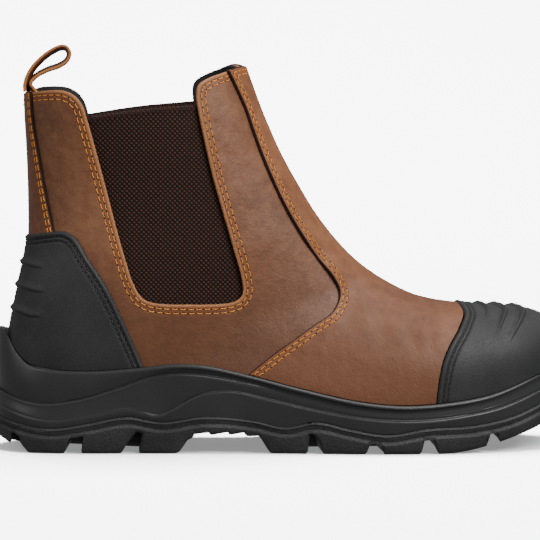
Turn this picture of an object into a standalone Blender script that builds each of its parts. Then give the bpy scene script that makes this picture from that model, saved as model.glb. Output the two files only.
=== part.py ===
"""Right side gore work boot, size EU 43, standing on a floor at z = 0.

The frame is +X to the toe, +Z up and -Y to the outer side of the foot. Tables and sizes are in
millimetres and become metres where a mesh is made. Every leather and rubber piece is cut from one
skin: a fan of sections that leans from the collar, over the instep, to the toe.
"""

from collections import namedtuple

import bmesh
import bpy
import numpy as np

MM = 0.001
OBJECT_NAME = "side_gore_work_boot"

# Driving sizes
BALL_WIDTH = 107.5
MIDDLE_X = 1.25
MIDDLE_Y = -1.0
WALL = 2.6
GAP = 0.3
SEAT_GAP = 0.45
VAMP_THICK = 1.6
BACKSTAY_THICK = 1.5
MOULDED_THICK = 2.2
RIDGE_RISE = 1.3
RIDGE_ROOT = 1.0
GORE_THICK = 1.5
GORE_LAP = 6.0
STRAP_THICK = 2.2
STRAP_WIDTH = 18.0
INSOLE_THICK = 3.5
HOLLOW_RISE = 8.0
BEYOND = 90.0
OVERHEAD = [(175.0, 230.0), (-175.0, 230.0)]

# How finely the faceted solids are divided: sections, points round each, and points between table rows
SECTION_STEPS = 26
ROUND_STEPS = 24
SOLE_STEPS = 2
OUTLINE_STEPS = 2

# A section runs from the front or top of the boot to its back or underside. The width is a share
# of the ball width, the peak is how far along the section is widest, and the round columns are
# the powers of the curve on either side of it. The shift columns bend the foot to its inner side.
Section = namedtuple(
    "Section",
    "front_x front_z back_x back_z width peak front_round back_round front_shift back_shift",
)
SECTIONS = [
    Section(-25.5, 210.0, -137.2, 197.0, 0.700, 0.50, 2.2, 2.3, 0.0, 0.0),
    Section(-19.5, 192.5, -136.8, 178.0, 0.690, 0.50, 2.2, 2.3, 0.0, 0.0),
    Section(-11.5, 171.5, -135.6, 155.0, 0.685, 0.50, 2.3, 2.2, 0.0, 0.0),
    Section(-1.5, 150.5, -134.9, 131.0, 0.675, 0.50, 2.3, 2.2, 0.0, 0.0),
    Section(9.5, 131.0, -135.3, 108.0, 0.675, 0.52, 2.4, 2.4, 0.0, 0.0),
    Section(19.8, 115.5, -139.8, 85.0, 0.685, 0.54, 2.5, 2.7, 0.0, 0.0),
    Section(30.2, 103.3, -144.2, 62.0, 0.685, 0.56, 2.5, 2.9, 0.3, 0.0),
    Section(38.4, 95.7, -145.5, 42.0, 0.680, 0.56, 2.5, 3.0, 0.6, 0.0),
    Section(45.6, 90.4, -135.0, 27.5, 0.675, 0.54, 2.4, 3.1, 1.0, 0.0),
    Section(53.0, 85.8, -105.0, 25.0, 0.680, 0.52, 2.3, 3.4, 1.5, -0.5),
    Section(61.0, 81.6, -70.0, 24.0, 0.690, 0.50, 2.3, 3.6, 2.0, -2.5),
    Section(70.0, 77.9, -35.0, 20.5, 0.730, 0.48, 2.2, 3.6, 2.5, -4.0),
    Section(81.0, 75.3, 0.0, 14.0, 0.800, 0.52, 2.2, 3.8, 3.0, -4.2),
    Section(94.0, 73.6, 40.0, 9.5, 0.880, 0.58, 2.3, 4.0, 3.5, -2.8),
    Section(108.0, 72.4, 75.0, 9.0, 0.890, 0.60, 2.5, 4.0, 4.5, -0.5),
    Section(122.0, 71.2, 105.0, 13.0, 0.815, 0.60, 2.6, 4.0, 5.5, 2.5),
    Section(134.0, 69.0, 127.0, 20.0, 0.673, 0.58, 2.6, 3.6, 6.5, 5.0),
    Section(143.5, 64.0, 141.0, 28.5, 0.500, 0.55, 2.5, 3.0, 7.2, 6.5),
    Section(149.5, 57.0, 148.5, 38.0, 0.290, 0.52, 2.3, 2.4, 7.8, 7.5),
    Section(152.0, 50.0, 152.0, 46.0, 0.065, 0.50, 2.0, 2.0, 8.0, 8.0),
]

# The sole from above: how far it reaches to the outer and to the inner side at each place
SoleRow = namedtuple("SoleRow", "along outer inner")
SOLE_PLAN = [
    SoleRow(-156.0, 0.0, 0.0),
    SoleRow(-151.5, 19.0, 19.0),
    SoleRow(-138.0, 33.5, 33.0),
    SoleRow(-115.0, 40.5, 40.0),
    SoleRow(-85.0, 42.5, 41.0),
    SoleRow(-50.0, 44.0, 39.0),
    SoleRow(-20.0, 46.0, 37.5),
    SoleRow(10.0, 50.0, 40.0),
    SoleRow(40.0, 54.5, 46.5),
    SoleRow(65.0, 55.5, 51.5),
    SoleRow(88.0, 53.0, 53.5),
    SoleRow(110.0, 46.5, 51.5),
    SoleRow(130.0, 35.5, 45.0),
    SoleRow(146.0, 20.5, 35.0),
    SoleRow(155.5, 6.0, 23.0),
    SoleRow(158.5, -8.0, 8.0),
]

# Heights along the sole, each a row of (place, height) that a smooth line joins
RIM_TOP = [
    (-156.0, 64.0), (-148.0, 62.0), (-142.5, 53.3), (-136.3, 46.8), (-126.0, 43.8), (-105.0, 42.4),
    (-80.0, 44.0), (-57.0, 46.2), (-42.0, 45.0), (-26.0, 41.5), (5.0, 33.5), (36.0, 26.8),
    (57.0, 24.9), (80.0, 26.2), (104.0, 30.0), (130.0, 39.1), (146.0, 45.5), (158.5, 49.5),
]
HEEL_CREASE = [
    (-156.0, 34.0), (-144.0, 28.5), (-129.0, 25.4), (-110.0, 27.5), (-90.0, 33.2), (-72.0, 39.0),
    (-55.0, 41.0), (-26.0, 36.9), (5.0, 28.9), (36.0, 22.2), (57.0, 20.4), (80.0, 21.7),
    (104.0, 25.5), (130.0, 34.2), (146.0, 40.4), (158.5, 44.4),
]
ARCH_CREASE = [
    (-156.0, 22.0), (-124.0, 14.8), (-85.0, 20.5), (-70.0, 18.6), (-60.0, 23.5), (-50.0, 29.2),
    (-32.0, 32.0), (-10.0, 27.5), (15.0, 21.4), (45.0, 16.7), (66.0, 16.2), (90.0, 18.1),
    (110.0, 21.8), (129.0, 28.5), (146.0, 36.0), (158.5, 41.0),
]
TREAD_TOP = [
    (-156.0, 20.0), (-144.0, 15.8), (-124.0, 12.5), (-104.0, 15.3), (-84.0, 18.7), (-67.0, 15.9),
    (-46.0, 18.7), (-20.0, 17.0), (-2.0, 13.5), (12.0, 16.2), (30.0, 12.6), (48.5, 9.8),
    (70.0, 12.8), (95.0, 14.0), (118.0, 18.4), (129.0, 22.3), (146.0, 30.0), (158.5, 36.0),
]
TREAD_BOTTOM = [
    (-156.0, 9.5), (-149.0, 6.4), (-143.0, 3.4), (-135.0, 0.0), (80.0, 0.0), (90.0, 1.0),
    (100.0, 3.0), (118.0, 7.8), (130.0, 11.8), (146.0, 19.0), (158.5, 27.0),
]
PLATFORM = [
    (-175.0, 34.0), (-140.0, 32.5), (-90.0, 31.5), (-57.0, 30.0), (-26.0, 25.5), (5.0, 20.5),
    (36.0, 16.8), (57.0, 15.8), (76.0, 16.8), (104.0, 20.5), (119.0, 24.5), (131.0, 29.5),
    (150.0, 38.5), (175.0, 50.0),
]

# How far the rim is drawn in round the heel, a row of (place, distance) each
HEEL_TUCK = [
    (-156.0, 2.0), (-151.5, 4.0), (-145.0, 5.0), (-138.0, 4.0), (-130.0, 2.5), (-118.0, 1.5),
    (-100.0, 0.8), (-80.0, 0.0), (158.5, 0.0),
]

# Outlines of the leather and rubber pieces, seen from the outer side
COLLAR_BACK = [(-175.0, 186.4), (-138.0, 186.6), (-127.0, 187.0), (-117.5, 186.8), (-111.0, 183.8), (-107.0, 178.6)]
GORE_BACK = [(-105.0, 172.5), (-100.9, 158.0), (-95.5, 138.0), (-89.7, 116.0), (-84.8, 99.0), (-81.0, 87.5)]
GORE_FOOT = [(-75.5, 79.2), (-66.0, 76.8), (-52.0, 76.4), (-38.0, 76.5), (-29.0, 77.7), (-24.4, 81.6)]
GORE_FRONT = [(-24.8, 90.0), (-29.5, 107.0), (-35.0, 126.0), (-39.5, 142.0), (-43.2, 158.0), (-46.2, 172.0)]
COLLAR_FRONT = [(-47.9, 183.0), (-46.9, 189.8), (-41.0, 193.9), (-33.0, 197.0), (-22.0, 201.2), (0.0, 204.0)]
GORE_MIDDLE = (-62.0, 130.0)
GORE_TOP = [(-113.0, 171.7), (-104.0, 173.2), (-77.0, 177.2), (-48.0, 179.7), (-41.0, 180.2)]
VAMP_SEAM = [
    (-31.0, 197.8), (-27.4, 190.7), (-21.7, 178.2), (-17.5, 165.8), (-12.8, 152.8), (-7.1, 139.3),
    (-0.3, 125.2), (7.6, 111.6), (16.5, 99.1), (24.0, 89.2), (26.9, 81.5), (22.5, 72.4),
    (12.7, 65.9), (2.4, 58.7), (-10.6, 49.5), (-24.0, 38.8), (-32.0, 32.0),
]
IN_FRONT = [(90.0, 120.0), (60.0, 204.0)]
TOE_CAP_EDGE = [
    (90.3, 82.0), (91.5, 76.6), (93.9, 71.5), (91.5, 66.5), (87.5, 61.5), (84.0, 56.0),
    (80.5, 48.5), (78.2, 40.5), (77.0, 32.0), (76.0, 22.0), (75.5, 12.0),
]
PAST_THE_TOE = [(175.0, 12.0), (175.0, 100.0), (90.3, 100.0)]
COUNTER_EDGE = [
    (-175.0, 109.0), (-138.0, 111.0), (-126.0, 113.6), (-116.0, 114.4), (-109.5, 110.2), (-103.1, 99.6),
    (-95.5, 87.0), (-87.8, 71.7), (-82.0, 58.8), (-76.5, 46.0), (-72.0, 34.0),
]
BEHIND_THE_HEEL = (-175.0, 34.0)
BACKSTAY_EDGE = [
    (-134.4, 190.0), (-133.4, 173.0), (-130.6, 156.5), (-127.3, 138.2), (-124.2, 123.6), (-121.0, 110.0),
]
STRAP_PATH = [
    (-137.5, 187.4), (-137.6, 190.5), (-136.4, 195.2), (-133.6, 200.0), (-129.6, 204.4),
    (-124.5, 208.4), (-119.2, 211.0), (-115.6, 210.6), (-113.8, 207.4), (-115.2, 203.4),
    (-119.4, 200.4), (-125.6, 198.2), (-131.2, 195.2), (-134.3, 191.6), (-132.6, 188.6),
    (-130.9, 185.6), (-130.8, 178.0), (-130.8, 172.0),
]

# Raised bands: the fins round the heel and the ridges over the toe, as their edges from the side
HEEL_FINS = [
    [(-165.0, 101.5), (-131.5, 95.2), (-131.5, 92.2), (-165.0, 95.0)],
    [(-165.0, 88.5), (-131.0, 82.6), (-131.0, 79.4), (-165.0, 82.0)],
    [(-165.0, 77.0), (-132.5, 69.6), (-132.5, 66.2), (-165.0, 69.5)],
]
TOE_RIDGES = [
    [(101.5, 90.0), (101.5, 74.0), (106.0, 62.0), (109.5, 64.0), (106.5, 74.0), (106.5, 90.0)],
    [(109.5, 90.0), (109.5, 74.0), (112.5, 60.0), (111.0, 52.0), (116.5, 60.0), (115.0, 74.0), (115.0, 90.0)],
    [(119.5, 90.0), (119.5, 74.0), (122.5, 60.0), (118.5, 50.0), (127.0, 60.0), (125.0, 74.0), (125.0, 90.0)],
]

# Gaps between the lugs, from the side, and the grooves under the middle of the sole
LUG_GAPS = [
    [(-146.0, -3.0), (-143.4, 10.3), (-140.2, 8.2), (-138.0, 3.2), (-132.5, -3.0)],
    [(-118.5, -3.0), (-112.0, 8.4), (-107.0, 9.0), (-108.3, -3.0)],
    [(-89.0, -3.0), (-84.5, 5.0), (-79.2, 11.4), (-76.6, 10.6), (-78.9, -3.0)],
    [(8.0, -3.0), (9.4, 10.6), (11.4, 9.8), (14.0, 7.0), (17.0, -3.0)],
    [(37.0, -3.0), (40.3, 6.0), (44.9, 5.4), (48.8, -3.0)],
    [(65.6, -3.0), (68.2, 7.6), (72.4, 7.6), (76.6, -3.0)],
    [(99.0, -3.0), (103.5, 10.4), (107.0, 9.2), (111.0, -3.0)],
]
ARCH_GAP = [
    (-63.5, -3.0), (-59.0, 1.8), (-55.2, 7.6), (-43.0, 9.8), (-33.0, 10.2), (-24.0, 9.6), (-16.0, 8.0),
    (-12.2, 2.4), (-8.5, -3.0),
]
MIDDLE_HALF = 16.0
MIDDLE_GAPS = [(-126.0, 6.0), (-97.0, 6.0), (26.0, 6.0), (57.0, 6.0), (88.0, 6.0)]
CHANNEL_WIDTH = 4.5
CHANNEL_DEPTH = 5.0
CHANNELS = [(-122.0, -72.0), (0.0, 92.0)]

# Steps of a wall from its foot to its top: which line, how far above it, how deep set, and how much
# of the heel tuck it takes
WallStep = namedtuple("WallStep", "line rise inset tuck")
MIDSOLE_WALL = [
    WallStep(TREAD_TOP, GAP, 1.0, 0.0),
    WallStep(ARCH_CREASE, -0.8, 0.5, 0.1),
    WallStep(ARCH_CREASE, 0.9, 2.2, 0.1),
    WallStep(HEEL_CREASE, -0.7, 1.1, 0.3),
    WallStep(HEEL_CREASE, 0.9, 2.8, 0.3),
    WallStep(RIM_TOP, -2.8, 3.0, 1.0),
    WallStep(RIM_TOP, -1.6, 1.6, 1.0),
    WallStep(RIM_TOP, 0.0, 2.2, 1.0),
]
OUTSOLE_WALL = [
    WallStep(TREAD_BOTTOM, 0.0, 2.2, 0.0),
    WallStep(TREAD_BOTTOM, 2.0, 1.0, 0.0),
    WallStep(TREAD_TOP, -1.0, 0.0, 0.0),
    WallStep(TREAD_TOP, 0.0, 1.0, 0.0),
]

# Material looks: colour, roughness
LEATHER = ("brown_leather", (0.17, 0.075, 0.038), 0.45)
ELASTIC = ("brown_elastic", (0.035, 0.022, 0.016), 0.85)
MOULDED = ("black_moulding", (0.028, 0.028, 0.029), 0.50)
SOLE_RUBBER = ("black_rubber", (0.020, 0.020, 0.021), 0.70)
FOOTBED = ("grey_footbed", (0.09, 0.09, 0.09), 0.90)


def smooth(values, places):
    """Read a smooth line through evenly numbered values at the given places."""
    values = np.asarray(values, dtype=float)
    first = 2 * values[:1] - values[1:2]
    last = 2 * values[-1:] - values[-2:-1]
    padded = np.concatenate([first, values, last])
    places = np.clip(np.asarray(places, dtype=float), 0, len(values) - 1)
    whole = np.minimum(places.astype(int), len(values) - 2)
    part = places - whole
    part = part.reshape(part.shape + (1,) * (values.ndim - 1))
    before, here, after, beyond = (padded[whole + k] for k in range(4))
    linear = (after - before) * part
    square = (2 * before - 5 * here + 4 * after - beyond) * part ** 2
    cube = (3 * here - before - 3 * after + beyond) * part ** 3
    return 0.5 * (2 * here + linear + square + cube)


def height(line, along):
    """Read the height of a line of (place, height) points, smoothed, at places along the boot."""
    places, heights = np.asarray(line, dtype=float).T
    number = np.interp(along, places, np.arange(len(places)))
    slope = np.gradient(heights, places)
    index = np.clip(number.astype(int), 0, len(places) - 2)
    span = places[index + 1] - places[index]
    part = np.clip((along - places[index]) / span, 0, 1)
    low, high = heights[index], heights[index + 1]
    low_slope, high_slope = slope[index] * span, slope[index + 1] * span
    return (
        low * (1 + 2 * part) * (1 - part) ** 2
        + low_slope * part * (1 - part) ** 2
        + high * part ** 2 * (3 - 2 * part)
        + high_slope * part ** 2 * (part - 1)
    )


def flat_height(line, along):
    """Read the height of a line of (place, height) points, straight between them."""
    places, heights = np.asarray(line, dtype=float).T
    return np.interp(along, places, heights)


def skin(number, turn):
    """Give the leather's outer surface at a section number and a turn round it from front to back."""
    row = dict(zip(Section._fields, np.moveaxis(smooth(SECTIONS, number), -1, 0)))
    ahead, aside = np.cos(turn), np.sin(turn)
    power = np.where(ahead > 0, row["front_round"], row["back_round"])
    reach = (np.abs(ahead) ** power + np.abs(aside) ** power) ** (-1 / power)
    side = np.where(ahead > 0, row["peak"], 1 - row["peak"])
    part = row["peak"] - side * ahead * reach
    x = row["front_x"] + (row["back_x"] - row["front_x"]) * part
    z = row["front_z"] + (row["back_z"] - row["front_z"]) * part
    shift = row["front_shift"] + (row["back_shift"] - row["front_shift"]) * part
    y = shift - row["width"] * BALL_WIDTH / 2 * aside * reach
    return np.stack([x, y, z], axis=-1)


def proud_skin(number, turn, proud):
    """Move the skin out by a distance, along its own normal."""
    step = 0.05
    last = len(SECTIONS) - 1
    down = skin(np.minimum(number + step, last), turn) - skin(np.maximum(number - step, 0), turn)
    around = skin(number, turn + step) - skin(number, turn - step)
    normal = np.cross(around, down)
    normal /= np.linalg.norm(normal, axis=-1, keepdims=True)
    return skin(number, turn) + normal * proud


def add_object(name, mesh, group):
    """Turn a bmesh in millimetres into an object in a collection."""
    bmesh.ops.recalc_face_normals(mesh, faces=mesh.faces)
    bmesh.ops.translate(mesh, vec=(-MIDDLE_X, -MIDDLE_Y, 0.0), verts=mesh.verts)
    bmesh.ops.scale(mesh, vec=(MM, MM, MM), verts=mesh.verts)
    data = bpy.data.meshes.new(name)
    mesh.to_mesh(data)
    mesh.free()
    piece = bpy.data.objects.new(name, data)
    group.objects.link(piece)
    return piece


def loft(rings, ladder):
    """Join closed rings into one solid; its ends are laddered from side to side or fanned."""
    mesh = bmesh.new()
    rows = [[mesh.verts.new(point) for point in ring] for ring in rings]
    count = len(rows[0])
    for low, high in zip(rows, rows[1:]):
        for k in range(count):
            after = (k + 1) % count
            mesh.faces.new((low[k], low[after], high[after]))
            mesh.faces.new((low[k], high[after], high[k]))
    for row in (rows[0], rows[-1]):
        if ladder:
            ladder_end(mesh, row)
        else:
            fan_end(mesh, row)
    return mesh


def fan_end(mesh, row):
    """Close a ring with triangles to its middle."""
    middle = mesh.verts.new(sum((vert.co for vert in row), start=0 * row[0].co) / len(row))
    for k, vert in enumerate(row):
        mesh.faces.new((vert, row[(k + 1) % len(row)], middle))


def ladder_end(mesh, row):
    """Close a sole ring with rungs that join the points of its two sides."""
    count = len(row)
    half = count // 2
    mesh.faces.new((row[0], row[1], row[count - 1]))
    for k in range(1, half - 1):
        mesh.faces.new((row[k], row[k + 1], row[count - k - 1]))
        mesh.faces.new((row[k], row[count - k - 1], row[count - k]))
    mesh.faces.new((row[half - 1], row[half], row[half + 1]))


def body(proud, rise=0.0):
    """Loft the whole skin at a distance from the leather's outer face, with its collar end raised."""
    numbers = np.linspace(0, len(SECTIONS) - 1, SECTION_STEPS)
    turns = np.arange(ROUND_STEPS) * 2 * np.pi / ROUND_STEPS
    grid = proud_skin(numbers[:, None] + 0 * turns, turns + 0 * numbers[:, None], proud)
    if rise:
        top = grid[:1] + (0.0, 0.0, rise)
        grid = np.concatenate([top, grid])
    return loft(grid, ladder=False)


def outline(*runs):
    """Draw one smooth line through runs of points."""
    points = np.array([point for run in runs for point in run])
    places = np.linspace(0, len(points) - 1, (len(points) - 1) * OUTLINE_STEPS + 1)
    return smooth(points, places)


def prism(points, low=-BEYOND, high=BEYOND):
    """Extrude a side-view outline across the boot, between two places from side to side."""
    mesh = bmesh.new()
    face = mesh.faces.new([mesh.verts.new((x, low, z)) for x, z in points])
    grown = bmesh.ops.extrude_face_region(mesh, geom=[face])["geom"]
    moved = [item for item in grown if isinstance(item, bmesh.types.BMVert)]
    bmesh.ops.translate(mesh, verts=moved, vec=(0, high - low, 0))
    return mesh


def plan_prism(points, low, high):
    """Extrude an outline seen from above, between two heights."""
    mesh = bmesh.new()
    face = mesh.faces.new([mesh.verts.new((x, y, low)) for x, y in points])
    grown = bmesh.ops.extrude_face_region(mesh, geom=[face])["geom"]
    moved = [item for item in grown if isinstance(item, bmesh.types.BMVert)]
    bmesh.ops.translate(mesh, verts=moved, vec=(0, 0, high - low))
    return mesh


def merged(meshes):
    """Put several separate solids in one bmesh."""
    whole = bmesh.new()
    for mesh in meshes:
        data = bpy.data.meshes.new("part_of_cutter")
        mesh.to_mesh(data)
        mesh.free()
        whole.from_mesh(data)
        bpy.data.meshes.remove(data)
    return whole


def sole_ring(step):
    """Give one ring of the sole: its plan drawn in by the inset, at the heights of its line."""
    outer = [(row.along, -row.outer) for row in SOLE_PLAN]
    inner = [(row.along, row.inner) for row in SOLE_PLAN[-2:0:-1]]
    points = np.array(outer + inner)
    count = len(points)
    padded = np.concatenate([points[-2:], points, points[:3]])
    places = np.arange(count * SOLE_STEPS) / SOLE_STEPS + 2
    plan = smooth(padded, places)
    ahead = smooth(padded, places + 0.02) - smooth(padded, places - 0.02)
    normal = np.stack([ahead[:, 1], -ahead[:, 0]], axis=1)
    normal /= np.linalg.norm(normal, axis=1, keepdims=True)
    drawn_in = step.inset + step.tuck * height(HEEL_TUCK, plan[:, 0])
    plan = plan - normal * drawn_in[:, None]
    reader = flat_height if step.line is TREAD_BOTTOM else height
    level = reader(step.line, plan[:, 0]) + step.rise
    return np.column_stack([plan, level])


def rim_line(rise):
    """Give the top of the rim from heel to toe, raised, at the places where the rim has its points."""
    ring = sole_ring(MIDSOLE_WALL[-1])
    side = ring[: len(ring) // 2 + 1]
    return [(-175.0, side[0][2] + rise)] + [(x, z + rise) for x, _, z in side] + [(175.0, side[-1][2] + rise + 4)]


def platform_line(rise):
    """Give the footbed's seat from heel to toe, raised."""
    places = np.linspace(PLATFORM[0][0], PLATFORM[-1][0], 36)
    return list(zip(places, height(PLATFORM, places) + rise))


def material(look):
    """Make a piece's own material from its look."""
    name, colour, roughness = look
    finish = bpy.data.materials.new(name)
    finish.use_nodes = True
    shader = finish.node_tree.nodes["Principled BSDF"]
    shader.inputs["Base Color"].default_value = (*colour, 1.0)
    shader.inputs["Roughness"].default_value = roughness
    shader.inputs["Metallic"].default_value = 0.0
    return finish


class Workshop:
    """Keeps the two collections and cuts pieces with tools."""

    def __init__(self):
        """Clear the scene and make a collection for the pieces and one for the tools."""
        for item in list(bpy.data.objects):
            bpy.data.objects.remove(item, do_unlink=True)
        self.pieces = bpy.data.collections.new(OBJECT_NAME)
        self.tools = bpy.data.collections.new("cutters")
        bpy.context.scene.collection.children.link(self.pieces)
        bpy.context.scene.collection.children.link(self.tools)
        self.above_rim = self.tool("above_rim", prism(rim_line(SEAT_GAP) + OVERHEAD))

    def piece(self, name, mesh, look):
        """Add a piece of the boot with its material."""
        made = add_object(name, mesh, self.pieces)
        made.data.materials.append(material(look))
        made.data.shade_smooth()
        return made

    def tool(self, name, mesh):
        """Add a cutter, which shows as wires and is left out of the boot."""
        made = add_object("cut_" + name, mesh, self.tools)
        made.hide_render = True
        made.display_type = "WIRE"
        return made

    def cut(self, piece, tool, operation):
        """Cut, keep or join a piece with a tool."""
        step = piece.modifiers.new(tool.name, "BOOLEAN")
        step.operation = operation
        step.solver = "EXACT"
        step.object = tool

    def shell(self, name, look, outer, inner, region):
        """Cut a layer of the boot between two distances from the skin, inside a side-view region."""
        layer = self.piece(name, body(outer), look)
        self.cut(layer, self.tool(name + "_hollow", body(inner, HOLLOW_RISE)), "DIFFERENCE")
        self.cut(layer, self.tool(name + "_region", region), "INTERSECT")
        return layer


def make_upper(shop):
    """Make the quarters and lining: one wall, open at the collar, the gore windows and underneath."""
    top = outline(COLLAR_BACK, GORE_BACK, GORE_FOOT, GORE_FRONT, COLLAR_FRONT)
    around = list(top) + [(175.0, 204.0)] + platform_line(GAP)[::-1]
    shop.shell("upper", LEATHER, 0.0, -WALL, prism(around))


def make_vamp(shop):
    """Make the front piece, lapped over the quarters from the collar down to the toe cap."""
    seam = list(outline(VAMP_SEAM))
    cap = [(x - SEAT_GAP, z) for x, z in outline(TOE_CAP_EDGE)]
    top = [(x, z) for x, z in outline(COLLAR_FRONT) if x > seam[0][0]]
    around = seam + cap[::-1] + IN_FRONT + top[::-1]
    vamp = shop.shell("vamp", LEATHER, GAP + VAMP_THICK, GAP, prism(around))
    shop.cut(vamp, shop.above_rim, "INTERSECT")


def make_toe_cap(shop):
    """Make the moulded bumper over the toe, with its raised ridges."""
    edge = list(outline(TOE_CAP_EDGE))
    around = edge + PAST_THE_TOE
    cap = shop.shell("toe_cap", MOULDED, GAP + MOULDED_THICK, GAP, prism(around))
    ridges = shop.tool("toe_ridges", body(GAP + MOULDED_THICK + RIDGE_RISE))
    shop.cut(ridges, shop.tool("toe_ridges_hollow", body(RIDGE_ROOT)), "DIFFERENCE")
    shop.cut(ridges, shop.tool("toe_ridges_region", merged([prism(band) for band in TOE_RIDGES])), "INTERSECT")
    shop.cut(cap, ridges, "UNION")
    shop.cut(cap, shop.above_rim, "INTERSECT")


def make_heel_counter(shop):
    """Make the moulded cup round the heel, with its raised fins."""
    around = list(outline(COUNTER_EDGE)) + [BEHIND_THE_HEEL]
    counter = shop.shell("heel_counter", MOULDED, GAP + MOULDED_THICK, GAP, prism(around))
    fins = shop.tool("heel_fins", body(GAP + MOULDED_THICK + RIDGE_RISE))
    shop.cut(fins, shop.tool("heel_fins_hollow", body(RIDGE_ROOT)), "DIFFERENCE")
    shop.cut(fins, shop.tool("heel_fins_region", merged([prism(band) for band in HEEL_FINS])), "INTERSECT")
    shop.cut(counter, fins, "UNION")
    shop.cut(counter, shop.above_rim, "INTERSECT")


def make_backstay(shop):
    """Make the strip up the back seam, from the heel counter to the collar."""
    edge = list(outline(BACKSTAY_EDGE))
    foot = [(x, z + SEAT_GAP) for x, z in outline(COUNTER_EDGE) if x < edge[-1][0]]
    top = [(x, z) for x, z in outline(COLLAR_BACK) if x < edge[0][0]]
    low = [point for point in edge if point[1] < top[-1][1] and point[1] > foot[-1][1]]
    shop.shell("backstay", LEATHER, GAP + BACKSTAY_THICK, GAP, prism(top + low + foot[::-1]))


def make_gores(shop):
    """Make the two elastic panels, lapped behind the edges of the windows."""
    window = outline(GORE_BACK, GORE_FOOT, GORE_FRONT)
    away = window - GORE_MIDDLE
    reach = np.linalg.norm(away, axis=1, keepdims=True)
    wide = window + away / reach * GORE_LAP
    low = [(x, z) for x, z in wide if z < GORE_TOP[0][1] - GAP]
    around = list(outline(GORE_TOP)) + low[::-1]
    face = -WALL - GAP
    for name, near, far in (("gore_outer", -BEYOND, 0.0), ("gore_inner", 0.0, BEYOND)):
        shop.shell(name, ELASTIC, face, face - GORE_THICK, prism(around, near, far))


def make_pull_loop(shop):
    """Make the leather loop that stands on the back of the collar, its tail tucked inside."""
    places = np.linspace(0, len(STRAP_PATH) - 1, len(STRAP_PATH) * 2 - 1)
    middle = smooth(STRAP_PATH, places)
    ahead = smooth(STRAP_PATH, places + 0.05) - smooth(STRAP_PATH, places - 0.05)
    aside = np.stack([-ahead[:, 1], ahead[:, 0]], axis=1)
    aside *= STRAP_THICK / 2 / np.linalg.norm(aside, axis=1, keepdims=True)
    half = STRAP_WIDTH / 2
    rings = [
        [(a[0], -half, a[1]), (b[0], -half, b[1]), (b[0], half, b[1]), (a[0], half, a[1])]
        for a, b in zip(middle + aside, middle - aside)
    ]
    shop.piece("pull_loop", loft(rings, ladder=False), LEATHER)


def make_insole(shop):
    """Make the footbed that lies on the midsole inside the upper."""
    under = platform_line(GAP)
    over = platform_line(GAP + INSOLE_THICK)
    insole = shop.piece("insole", body(-WALL - SEAT_GAP), FOOTBED)
    shop.cut(insole, shop.tool("insole_slab", prism(under + over[::-1])), "INTERSECT")


def make_midsole(shop):
    """Make the sculpted sole body, hollowed for the upper down to the footbed's seat."""
    midsole = shop.piece("midsole", loft([sole_ring(step) for step in MIDSOLE_WALL], ladder=True), MOULDED)
    seat = shop.tool("seat", body(GAP))
    shop.cut(seat, shop.tool("above_seat", prism(platform_line(0.0) + OVERHEAD)), "INTERSECT")
    shop.cut(midsole, seat, "DIFFERENCE")


def channel(side, span):
    """Draw one of the two grooves that run along the middle of the tread."""
    places = np.linspace(span[0], span[1], 9)
    spread = smooth([(row.along, (row.inner - row.outer) / 2) for row in SOLE_PLAN], np.linspace(0, 15, 61))
    middle = np.interp(places, spread[:, 0], spread[:, 1])
    near = middle + side * (MIDDLE_HALF - CHANNEL_WIDTH / 2)
    far = middle + side * (MIDDLE_HALF + CHANNEL_WIDTH / 2)
    points = list(zip(places, near)) + list(zip(places, far))[::-1]
    return plan_prism(points, -3.0, CHANNEL_DEPTH)


def make_outsole(shop):
    """Make the tread: one slab in the sole's plan, cut between the lugs and under the arch."""
    outsole = shop.piece("outsole", loft([sole_ring(step) for step in OUTSOLE_WALL], ladder=True), SOLE_RUBBER)
    outer_side = merged([prism(gap, -BEYOND, -MIDDLE_HALF) for gap in LUG_GAPS])
    inner_side = merged([prism(gap, MIDDLE_HALF, BEYOND) for gap in LUG_GAPS])
    shop.cut(outsole, shop.tool("outer_gaps", outer_side), "DIFFERENCE")
    shop.cut(outsole, shop.tool("inner_gaps", inner_side), "DIFFERENCE")
    shop.cut(outsole, shop.tool("arch_gap", prism(ARCH_GAP)), "DIFFERENCE")
    channels = merged([channel(side, span) for side in (-1, 1) for span in CHANNELS])
    shop.cut(outsole, shop.tool("channels", channels), "DIFFERENCE")
    bars = [[(x, -3.0), (x, CHANNEL_DEPTH), (x + wide, CHANNEL_DEPTH), (x + wide, -3.0)] for x, wide in MIDDLE_GAPS]
    middle = merged([prism(bar, -MIDDLE_HALF, MIDDLE_HALF) for bar in bars])
    shop.cut(outsole, shop.tool("middle_gaps", middle), "DIFFERENCE")


def main():
    """Make every piece of the boot."""
    shop = Workshop()
    make_upper(shop)
    make_vamp(shop)
    make_toe_cap(shop)
    make_heel_counter(shop)
    make_backstay(shop)
    make_gores(shop)
    make_pull_loop(shop)
    make_insole(shop)
    make_midsole(shop)
    make_outsole(shop)


main()
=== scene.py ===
"""The looks of a right side gore work boot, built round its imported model.

Tables are in millimetres in the maker's frame, with +X to the toe, +Z up and -Y to the outer side
of the foot. A mesh becomes metres and is centred on the model's frame when it is finished.
"""

import logging
import math
from collections.abc import Callable, Iterable, Sequence
from dataclasses import dataclass, field, fields
from enum import Enum

import bmesh
import bpy
import numpy as np
from mathutils import Matrix, Vector
from mathutils.bvhtree import BVHTree
from mathutils.kdtree import KDTree


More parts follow.
